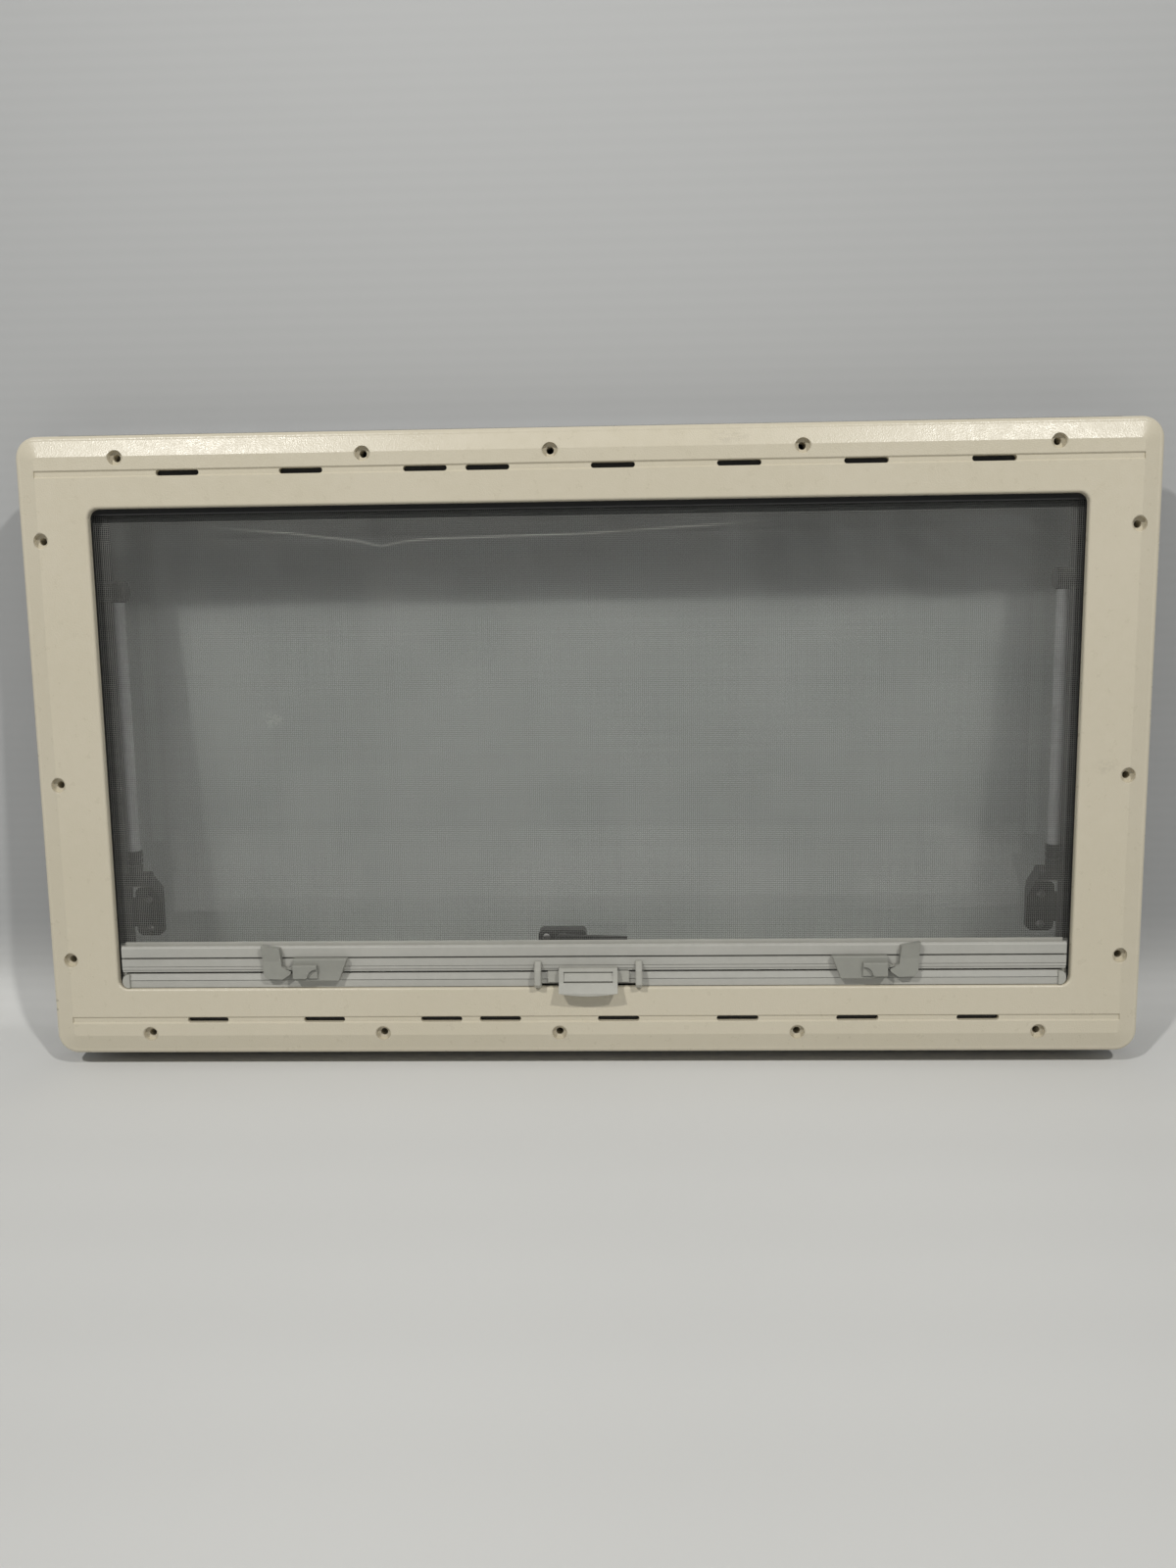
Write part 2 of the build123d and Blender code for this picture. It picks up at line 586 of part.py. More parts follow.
def make_blind_rail():
    """Blind rail with a tilted brow, a step along its front and finger room under the handle."""
    step = BLIND_FOOT_Z + BLIND_STEP
    shape = section([
        (RAIL_Y, BLIND_FOOT_Z), (RAIL_Y, step), (RAIL_Y + BLIND_TILT, BLIND_TOP_Z),
        (RAIL_BACK, BLIND_TOP_Z), (RAIL_BACK, BLIND_FOOT_Z)])
    shape -= area((RAIL_Y - FIT, BLIND_FOOT_Z - FIT), (RAIL_Y + BLIND_STEP_DEPTH, step))
    shape -= area((RAIL_Y - FIT, step - RAIL_LINE), (RAIL_Y + 2 * RAIL_LINE, step))
    half = RAIL_HALF - CAP_WIDTH / 2
    relief = FIN_X - FIN_WIDTH / 2
    notch = area((RAIL_Y - FIT, BLIND_FOOT_Z - FIT), (RAIL_Y + RELIEF_DEPTH, BLIND_FOOT_Z + RELIEF_HEIGHT))
    return bar(shape, -half, half) - bar(notch, -relief, relief)


def make_slider():
    """Left end piece of the screen rail, running in the guide."""
    low = SCREEN_FOOT_Z + SLIDER_TRIM
    high = SCREEN_TOP_Z - SLIDER_TRIM
    body = block(-RAIL_HALF - SLIDER_REACH, -RAIL_HALF, GUIDE_FRONT + SLIDER_PLAY, GUIDE_BACK, low, high)
    return fillet(body.edges().filter_by(Axis.Y).group_by(Axis.X)[0], SLIDER_EDGE)


def make_cap():
    """Left end cap of the blind rail with a tongue in the guide."""
    inner = -RAIL_HALF + CAP_WIDTH / 2
    cap = block(-RAIL_HALF, inner, RAIL_Y - CAP_PROUD, GUIDE_BACK, BLIND_FOOT_Z, BLIND_TOP_Z)
    cap = fillet(cap.edges().filter_by(Axis.Y).group_by(Axis.X)[0], CAP_CORNER)
    front = GUIDE_FRONT + SLIDER_PLAY
    return cap + block(-RAIL_HALF - SLIDER_REACH, inner, front, GUIDE_BACK, BLIND_FOOT_Z, BLIND_TOP_Z)


# Flyscreen cloth
def make_flyscreen():
    """Plain sheet from the top roller to the keder slot of its rail."""
    front = MESH_Y - MESH_THICK / 2
    back = MESH_Y + MESH_THICK / 2
    half = GUIDE_OUT - GUIDE_WALL - FIT
    sheet = block(-half, half, front, back, SCREEN_TOP_Z, CASSETTE_TOP_IN - FIT)
    sheet += block(-ROLLER_HALF, ROLLER_HALF, front, back, CASSETTE_TOP_IN - FIT, ROLLER_Z)
    return sheet + block(-ROLLER_HALF, ROLLER_HALF, front, back, SCREEN_TOP_Z - KEDER_DEPTH, SCREEN_TOP_Z)


# Pull handle and fins
def make_handle():
    """Bow handle with a recessed panel, a slot under it and a side plate on each hand."""
    rest = RAIL_FRONT + FIT
    side = reach_section([
        (0.0, HANDLE_ROOT), (0.0, BLIND_RAIL_TOP), (HANDLE_BACK_CLEAR, BLIND_RAIL_TOP),
        (HANDLE_BACK_CLEAR, HANDLE_TOP), (HANDLE_TOP_REACH - HANDLE_BROW, HANDLE_TOP),
        (HANDLE_TOP_REACH, HANDLE_TOP - HANDLE_BROW), (HANDLE_FACE_REACH, HANDLE_SILL),
        (HANDLE_LIP_REACH, -HANDLE_LIP_DROP), (HANDLE_LIP_REACH, -HANDLE_LIP_DROP - HANDLE_BOW),
        (HANDLE_LIP_REACH - HANDLE_LIP_THICK, -HANDLE_LIP_DROP - HANDLE_BOW), (rest, HANDLE_ROOT)])
    body = bar(side, -HANDLE_WIDTH / 2, HANDLE_WIDTH / 2)
    half = HANDLE_WIDTH / 2
    end = LIGHT_FOOT - HANDLE_LIP_DROP
    bow = ThreePointArc((half, end), (0, end - HANDLE_BOW), (-half, end))
    top = LIGHT_FOOT + HANDLE_TOP + FIT
    front = make_face(bow + Polyline((-half, end), (-half, top), (half, top), (half, end)))
    body = body & slab(front, RAIL_Y - HANDLE_LIP_REACH - FIT, RAIL_Y + FIT)
    out = HANDLE_LIP_REACH + FIT
    panel = reach_section([
        (PANEL_TOP_REACH, PANEL_TOP), (PANEL_FOOT_REACH, PANEL_FOOT), (out, PANEL_FOOT), (out, PANEL_TOP)])
    body -= bar(panel, -PANEL_WIDTH / 2, PANEL_WIDTH / 2)
    slot = reach_section([
        (PANEL_SLOT_FLOOR, PANEL_FOOT), (PANEL_SLOT_FLOOR, PANEL_FOOT - PANEL_SLOT),
        (out, PANEL_FOOT - PANEL_SLOT), (out, PANEL_FOOT)])
    body -= bar(slot, -PANEL_WIDTH / 2, PANEL_WIDTH / 2)
    plate = block(
        -SIDE_PLATE_WIDTH / 2, SIDE_PLATE_WIDTH / 2, RAIL_Y - SIDE_PLATE_THICK, RAIL_Y - HANDLE_BACK_CLEAR,
        LIGHT_FOOT + SIDE_PLATE_FOOT, LIGHT_FOOT + SIDE_PLATE_TOP)
    root = block(
        -SIDE_PLATE_WIDTH / 2, SIDE_PLATE_WIDTH / 2, RAIL_Y - HANDLE_BACK_CLEAR, RAIL_Y,
        LIGHT_FOOT + BLIND_RAIL_FOOT + BLIND_STEP, BLIND_TOP_Z)
    return body + plate + root


def make_fin():
    """Left upright blade beside the handle."""
    shape = reach_section([
        (0.0, FIN_TAPER), (0.0, BLIND_RAIL_TOP), (HANDLE_BACK_CLEAR, BLIND_RAIL_TOP), (HANDLE_BACK_CLEAR, FIN_TOP),
        (FIN_TOP_REACH, FIN_TOP), (FIN_SHOULDER_REACH, FIN_SHOULDER), (FIN_REACH, FIN_TAPER),
        (FIN_TAPER_REACH, FIN_FOOT), (RAIL_FRONT + FIT, FIN_FOOT)])
    body = bar(shape, -FIN_X - FIN_WIDTH / 2, -FIN_X + FIN_WIDTH / 2)
    ridge = body.edges().filter_by(lambda edge: edge.center().Y < RAIL_Y - FIN_SHOULDER_REACH / 2)
    return chamfer(ridge.filter_by(Plane.YZ), FIN_EDGE)


# Claw hooks and catches
def make_hook():
    """Left claw on the screen rail with a creased face, standing clear of the blind rail."""
    body = slab(front_outline(HOOK_OUTLINE), RAIL_Y - HOOK_REACH, RAIL_Y)
    body = soften(body, RAIL_Y - HOOK_REACH, HOOK_EDGE)
    out = HOOK_REACH + FIT
    hollow = reach_section([
        (HOOK_REACH, HOOK_OUTLINE[0][1]), (HOOK_CREASE_REACH, HOOK_CREASE), (HOOK_FOOT_REACH, 0.0), (out, 0.0),
        (out, HOOK_OUTLINE[0][1])])
    body -= bar(hollow, CATCH_X - 2 * BORDER, CATCH_X)
    low = LIGHT_FOOT - FIT
    return body - block(CATCH_X - 2 * BORDER, CATCH_X, RAIL_Y - HANDLE_BACK_CLEAR, RAIL_Y + FIT, low, SCREEN_FOOT_Z)


def stem(play):
    """Slide of the thumb tab inside the catch, with play all round."""
    left = CATCH_X + TAB_LEFT - FIT
    return block(
        left, left + STEM_LENGTH + play, RAIL_Y - CATCH_REACH - FIT, RAIL_Y - STEM_LOW_REACH + play,
        LIGHT_FOOT + STEM_FOOT - play, LIGHT_FOOT + STEM_TOP + play)


def make_catch():
    """Left catch block on the blind rail, with a slot for the thumb tab."""
    body = slab(front_outline(CATCH_OUTLINE), RAIL_Y - CATCH_REACH, RAIL_Y)
    body = soften(body, RAIL_Y - CATCH_REACH, CATCH_EDGE)
    top = LIGHT_FOOT + SCREEN_RAIL_TOP
    body -= block(CATCH_X - BORDER, CATCH_X + BORDER, RAIL_Y - HANDLE_BACK_CLEAR, RAIL_Y + FIT, BLIND_TOP_Z, top)
    return body - stem(STEM_PLAY)


def make_tab():
    """Left thumb tab with a scooped grip, a stem in the catch and a nose over the claw."""
    outline = area(
        (CATCH_X + TAB_LEFT, LIGHT_FOOT + TAB_FOOT), (CATCH_X + TAB_RIGHT, LIGHT_FOOT + TAB_TOP))
    body = slab(outline, RAIL_Y - TAB_REACH, RAIL_Y - CATCH_REACH)
    body = soften(body, RAIL_Y - TAB_REACH, TAB_EDGE)
    scoop_x = CATCH_X + TAB_RIGHT
    scoop = drill(scoop_x, LIGHT_FOOT + TAB_FOOT, 2 * TAB_SCOOP_RADIUS, RAIL_Y - TAB_REACH - FIT,
                  RAIL_Y - TAB_REACH + TAB_SCOOP_DEPTH)
    notch = drill(scoop_x - TAB_SCOOP_RADIUS, LIGHT_FOOT + TAB_FOOT, 2 * TAB_NOTCH_RADIUS, RAIL_Y - TAB_REACH - FIT,
                  RAIL_Y - CATCH_REACH)
    nose_x = CATCH_X + TAB_LEFT - FIT
    nose = section([
        (nose_x, LIGHT_FOOT + STEM_TOP), (nose_x - NOSE_REACH, LIGHT_FOOT + STEM_FOOT + FIT),
        (nose_x, LIGHT_FOOT + STEM_FOOT)])
    return body - scoop - notch + stem(0.0) + slab(nose, RAIL_Y - CATCH_REACH, RAIL_Y - STEM_LOW_REACH)


# Stays
def make_stay_pivot():
    """Left plate on the outer frame's sleeve with a boss and a pin."""
    wall = -WELL_WIDTH / 2
    inner = -STAY_X - EYE_WIDTH / 2 - PIVOT_PLAY
    plate = block(wall, wall + PIVOT_PLATE, STAY_Y - EYE_RADIUS, LIP_FACE, EYE_Z - PIVOT_HALF, EYE_Z + PIVOT_HALF)
    corner = plate.edges().filter_by(Axis.X).group_by(Axis.Y)[0]
    plate = fillet(corner, EYE_RADIUS / 2)
    boss = block(wall, inner, STAY_Y - PIVOT_BOSS, STAY_Y + PIVOT_BOSS, EYE_Z - EYE_RADIUS, EYE_Z + EYE_RADIUS)
    boss = chamfer(boss.edges().filter_by(Axis.X), EYE_CHAMFER)
    return plate + boss + axle(STAY_Y, EYE_Z, PIN_RADIUS, inner, -STAY_X + EYE_WIDTH / 2)


def make_stay_cap():
    """Left upper eye of the stay, with a collar that seats on the tube."""
    low = -STAY_X - EYE_WIDTH / 2
    high = -STAY_X + EYE_WIDTH / 2
    eye = axle(STAY_Y, EYE_Z, EYE_RADIUS, low, high)
    eye += post(-STAY_X, STAY_Y, COLLAR_RADIUS, STAY_TOP, EYE_Z)
    return eye - axle(STAY_Y, EYE_Z, PIN_RADIUS + PIN_CLEAR, low - FIT, high + FIT)


def make_stay_tube():
    """Left aluminium tube."""
    outer = post(-STAY_X, STAY_Y, TUBE_DIAMETER / 2, STAY_FOOT, STAY_TOP)
    return outer - post(-STAY_X, STAY_Y, TUBE_DIAMETER / 2 - TUBE_WALL, STAY_FOOT - FIT, STAY_TOP + FIT)


def make_stay_rod():
    """Left rod that slides in the tube and ends in the foot piece."""
    return post(-STAY_X, STAY_Y, TUBE_DIAMETER / 2 - TUBE_WALL, STAY_FOOT - ROD_SOCKET, STAY_FOOT + ROD_OVERLAP)


def collar(radius, z_low, z_high):
    """A length of the many-sided twist collar about the left stay."""
    outline = Pos(-STAY_X, STAY_Y) * RegularPolygon(radius, FLAT_COUNT)
    return extrude(Plane.XY.offset(z_low) * outline, amount=z_high - z_low)


def make_stay_foot():
    """Left twist collar with flats and grip rings over the rod, and the lower eye."""
    low = STAY_FOOT - FOOT_LENGTH
    body = collar(FOOT_RADIUS, low, STAY_FOOT)
    for number in range(RING_COUNT):
        ring_low = low + RING_PITCH * (number + 1)
        cut = collar(FOOT_RADIUS + FIT, ring_low, ring_low + RING_WIDTH)
        body -= cut - collar(FOOT_RADIUS - RING_DEPTH, ring_low, ring_low + RING_WIDTH)
    x_low = -STAY_X - EYE_WIDTH / 2
    x_high = -STAY_X + EYE_WIDTH / 2
    body += axle(STAY_Y, FOOT_EYE_Z, FOOT_EYE_RADIUS, x_low, x_high)
    body += post(-STAY_X, STAY_Y, FOOT_EYE_RADIUS - FIT, FOOT_EYE_Z, low)
    body -= axle(STAY_Y, FOOT_EYE_Z, PIN_RADIUS + PIN_CLEAR, x_low - FIT, x_high + FIT)
    return body - post(-STAY_X, STAY_Y, TUBE_DIAMETER / 2 - TUBE_WALL, STAY_FOOT - ROD_SOCKET, STAY_FOOT + FIT)


def make_stay_bracket():
    """Left bracket on the pane's rim: base plate with a wing, lug and pin."""
    base_x = -STAY_X + BRACKET_SHIFT
    base_z = FOOT_EYE_Z + BRACKET_RISE - BRACKET_HEIGHT / 2
    outline = Pos(base_x, base_z) * RectangleRounded(BRACKET_WIDTH, BRACKET_HEIGHT, BRACKET_CORNER)
    foot = base_z - BRACKET_HEIGHT / 2
    outline += area((base_x - BRACKET_WIDTH / 2 - WING_REACH, foot + WING_FOOT), (base_x, foot + WING_TOP))
    plate = slab(outline, PANE_SEAT - BRACKET_THICK, PANE_SEAT)
    lug_x = -STAY_X + EYE_WIDTH / 2 + PIVOT_PLAY
    cheek = section([
        (STAY_Y, FOOT_EYE_Z + FOOT_EYE_RADIUS), (PANE_SEAT - FIT, FOOT_EYE_Z + BRACKET_RISE),
        (PANE_SEAT - FIT, FOOT_EYE_Z - LUG_FOOT), (STAY_Y, FOOT_EYE_Z - FOOT_EYE_RADIUS)])
    cheek += Pos(STAY_Y, FOOT_EYE_Z) * Circle(FOOT_EYE_RADIUS)
    lug = bar(cheek, lug_x, lug_x + LUG_THICK)
    return plate + lug + axle(STAY_Y, FOOT_EYE_Z, PIN_RADIUS, -STAY_X - EYE_WIDTH / 2, lug_x + FIT)


# Latch
def make_latch_base():
    """Rounded housing on the pane's rim."""
    outline = Pos(LATCH_X, (LATCH_TOP + LATCH_FOOT) / 2) * RectangleRounded(
        LATCH_WIDTH, LATCH_TOP - LATCH_FOOT, LATCH_CORNER)
    return bevelled(slab(outline, LATCH_FACE, PANE_SEAT), LATCH_FACE, LATCH_EDGE)


def make_latch_lever():
    """Tapered lever with a round boss on the housing and a tongue behind the outer frame's lip."""
    front = LIP_FACE - LEVER_THICK
    arm = section([
        (LATCH_X, LEVER_Z + LEVER_ROOT), (LATCH_X + LEVER_REACH, LEVER_Z + LEVER_TIP),
        (LATCH_X + LEVER_REACH, LEVER_Z - LEVER_TIP), (LATCH_X, LEVER_Z - LEVER_ROOT)])
    tongue = area((LATCH_X - TONGUE_HALF, -LIP_OPEN_HEIGHT / 2 - TONGUE_BITE), (LATCH_X + TONGUE_HALF, LEVER_Z))
    shape = arm + tongue + Pos(LATCH_X, LEVER_Z) * Circle(PIVOT_RADIUS)
    body = bevelled(slab(shape, front, LIP_FACE), front, LEVER_EDGE)
    return body + drill(LATCH_X, LEVER_Z, 2 * PIVOT_RADIUS, LIP_FACE, LATCH_FACE)


save("inner_frame", make_inner_frame())
save("outer_frame", make_outer_frame())
save("pane_seal", make_seal())
save("pane_inner_sheet", make_inner_sheet())
save("pane_outer_sheet", make_outer_sheet())
save("pane_hinge_profile", make_pane_profile())
save("frame_hinge_rail", make_hinge_rail())
save("screen_cassette", make_cassette(1, CASSETTE_TOP_IN))
save("blind_cassette", make_cassette(-1, CASSETTE_FOOT_IN))
save("screen_roller", make_roller(1))
save("blind_roller", make_roller(-1))
save_pair("guide", make_guide())
save("flyscreen", make_flyscreen())
save("screen_rail", make_screen_rail())
save("blind_rail", make_blind_rail())
save_pair("rail_slider", make_slider())
save_pair("rail_cap", make_cap())
save("pull_handle", make_handle())
save_pair("fin", make_fin())
save_pair("hook", make_hook())
save_pair("catch", make_catch())
save_pair("thumb_tab", make_tab())
save_pair("stay_pivot", make_stay_pivot())
save_pair("stay_cap", make_stay_cap())
save_pair("stay_tube", make_stay_tube())
save_pair("stay_rod", make_stay_rod())
save_pair("stay_foot", make_stay_foot())
save_pair("stay_bracket", make_stay_bracket())
save("latch_base", make_latch_base())
save("latch_lever", make_latch_lever())
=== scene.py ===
"""Caravan window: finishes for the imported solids, the woven flyscreen, small fasteners, studio and camera.

Every length is in metres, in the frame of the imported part: X to the right seen from indoors, Y towards
outdoors, Z up, with zero at the lower edge of the wall cut-out.
"""

import json
import logging
import math
from dataclasses import dataclass, field
from enum import Enum
from typing import Any, Optional, Union

import bpy
from mathutils import Matrix, Vector

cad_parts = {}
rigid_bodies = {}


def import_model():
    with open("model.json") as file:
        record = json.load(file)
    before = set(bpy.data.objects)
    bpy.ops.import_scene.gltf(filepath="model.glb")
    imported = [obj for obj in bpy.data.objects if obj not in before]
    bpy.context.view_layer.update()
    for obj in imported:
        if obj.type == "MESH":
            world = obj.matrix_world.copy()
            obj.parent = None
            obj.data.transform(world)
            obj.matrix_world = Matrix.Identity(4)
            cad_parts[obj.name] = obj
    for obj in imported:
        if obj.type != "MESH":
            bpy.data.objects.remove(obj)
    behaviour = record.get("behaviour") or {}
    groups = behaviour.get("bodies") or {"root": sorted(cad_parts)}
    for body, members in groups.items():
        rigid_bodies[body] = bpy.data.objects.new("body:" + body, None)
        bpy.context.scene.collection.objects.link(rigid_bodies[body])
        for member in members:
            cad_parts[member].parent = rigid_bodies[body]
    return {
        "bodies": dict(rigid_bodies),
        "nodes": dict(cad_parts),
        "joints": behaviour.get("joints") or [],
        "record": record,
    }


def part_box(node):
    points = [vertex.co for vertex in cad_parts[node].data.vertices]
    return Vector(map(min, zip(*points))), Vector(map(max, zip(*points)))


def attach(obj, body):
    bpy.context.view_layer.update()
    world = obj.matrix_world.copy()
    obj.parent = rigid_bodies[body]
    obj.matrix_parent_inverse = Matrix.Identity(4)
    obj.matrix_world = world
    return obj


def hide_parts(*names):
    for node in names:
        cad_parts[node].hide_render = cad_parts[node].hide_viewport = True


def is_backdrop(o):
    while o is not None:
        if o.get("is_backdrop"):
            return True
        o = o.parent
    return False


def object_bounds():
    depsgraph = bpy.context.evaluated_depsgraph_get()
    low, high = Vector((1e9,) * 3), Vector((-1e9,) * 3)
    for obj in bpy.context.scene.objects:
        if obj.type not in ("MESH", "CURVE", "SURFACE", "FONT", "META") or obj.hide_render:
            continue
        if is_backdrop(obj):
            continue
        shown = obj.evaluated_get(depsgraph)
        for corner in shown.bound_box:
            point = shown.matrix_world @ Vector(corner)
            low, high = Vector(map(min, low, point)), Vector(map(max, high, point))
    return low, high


LOG = logging.getLogger("caravan_window")

MILLIMETRE = 0.001
NODE_STEP = 220.0
GLOSS_LOW, GLOSS_HIGH = 0.3, 0.7

Tone = tuple[int, int, int]
Socket = bpy.types.NodeSocket
Value = Union[float, tuple, Socket]


class Slot(Enum):
    """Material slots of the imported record."""

    CREAM = "cream_moulding"
    DARK = "dark_moulding"
    ACRYLIC = "acrylic"
    SEAL = "seal_rubber"
    HINGE = "hinge_aluminium"
    CASSETTE = "cassette_plastic"
    ROLLER = "roller_cloth"
    MESH = "mesh_cloth"
    RAIL = "rail_grey"
    FITTING = "fitting_grey"
    SLIDER = "slider_plastic"
    CATCH = "catch_grey"
    STAY_TUBE = "stay_aluminium"
    STAY_STEEL = "stay_steel"
    STAY_PLASTIC = "stay_plastic"


class Effect(Enum):
    """Shader effects that several finishes share."""

    GRAIN = "moulded_grain"
    EDGES = "rubbed_edges"
    DUST = "settled_dust"
    STREAKS = "drawn_streaks"
    THREADS = "woven_threads"
    PATCH = "soft_patch"


class Along(Enum):
    """Axis that a profile was drawn along."""

    X = (0.02, 1.0, 1.0)
    Z = (1.0, 1.0, 0.02)


def linear(tone: Tone) -> tuple[float, float, float, float]:
    """Turn a colour read off a screen into the values that Blender's sockets take.

    Args:
        tone: Red, green and blue from 0 to 255.

    Returns:
        Linear red, green and blue with an alpha of one.
    """
    def channel(value: int) -> float:
        """One channel on the screen's transfer curve."""
        share = value / 255.0
        return share / 12.92 if share <= 0.04045 else ((share + 0.055) / 1.055) ** 2.4

    red, green, blue = (channel(value) for value in tone)
    return (red, green, blue, 1.0)


class Graph:
    """A node tree that is filled from left to right."""

    def __init__(self, tree: bpy.types.NodeTree) -> None:
        """Keep the tree and start at its left side."""
        self.tree = tree
        self.column = 0

    def add(self, kind: str, inputs: Optional[dict] = None, **settings: Any) -> bpy.types.Node:
        """Add one node.

        Args:
            kind: Blender's name of the node type.
            inputs: Values or sockets by input name or index; sockets are linked.
            settings: Properties of the node itself.

        Returns:
            The new node.
        """
        node = self.tree.nodes.new(kind)
        node.location = (NODE_STEP * self.column, 0.0)
        self.column += 1
        for name, value in settings.items():
            setattr(node, name, value)
        for key, value in (inputs or {}).items():
            self.feed(node.inputs[key], value)
        return node

    def feed(self, socket: Socket, value: Value) -> None:
        """Link a socket, or set its value."""
        if isinstance(value, bpy.types.NodeSocket):
            self.tree.links.new(value, socket)
        else:
            socket.default_value = value

    def math(self, operation: str, *values: Value, clamp: bool = False) -> Socket:
        """Add a Math node.

        Args:
            operation: Blender's name of the operation.
            values: Its inputs in order.
            clamp: Whether the result stays between zero and one.

        Returns:
            The result socket.
        """
        node = self.add("ShaderNodeMath", dict(enumerate(values)), operation=operation, use_clamp=clamp)
        return node.outputs[0]

    def blend(self, factor: Value, low: Value, high: Value) -> Socket:
        """Mix two colours.

        Args:
            factor: Share of the second colour.
            low: First colour.
            high: Second colour.

        Returns:
            The mixed colour.
        """
        node = self.add("ShaderNodeMix", {0: factor, 6: low, 7: high}, data_type="RGBA")
        return node.outputs[2]

    def remap(self, value: Socket, low: float, high: float, to_low: float = 0.0, to_high: float = 1.0) -> Socket:
        """Stretch a range of values onto another, smoothly at both ends.

        Args:
            value: Socket to read.
            low: Value that becomes to_low.
            high: Value that becomes to_high.
            to_low: Result at the low end.
            to_high: Result at the high end.

        Returns:
            The stretched value.
        """
        sockets = {0: value, 1: low, 2: high, 3: to_low, 4: to_high}
        return self.add("ShaderNodeMapRange", sockets, interpolation_type="SMOOTHSTEP").outputs[0]

    def ramp(self, value: Socket, low: float, high: float, rise: float) -> Socket:
        """Climb in a straight line between two values and stay level outside them.

        Args:
            value: Socket to read.
            low: Value where the climb starts.
            high: Value where it ends.
            rise: Result at the end of the climb.

        Returns:
            The climbed height.
        """
        sockets = {0: value, 1: low, 2: high, 3: 0.0, 4: rise}
        return self.add("ShaderNodeMapRange", sockets, interpolation_type="LINEAR").outputs[0]

    def object_point(self) -> Socket:
        """Object coordinates, which are the part's own metres."""
        return self.add("ShaderNodeTexCoord").outputs["Object"]


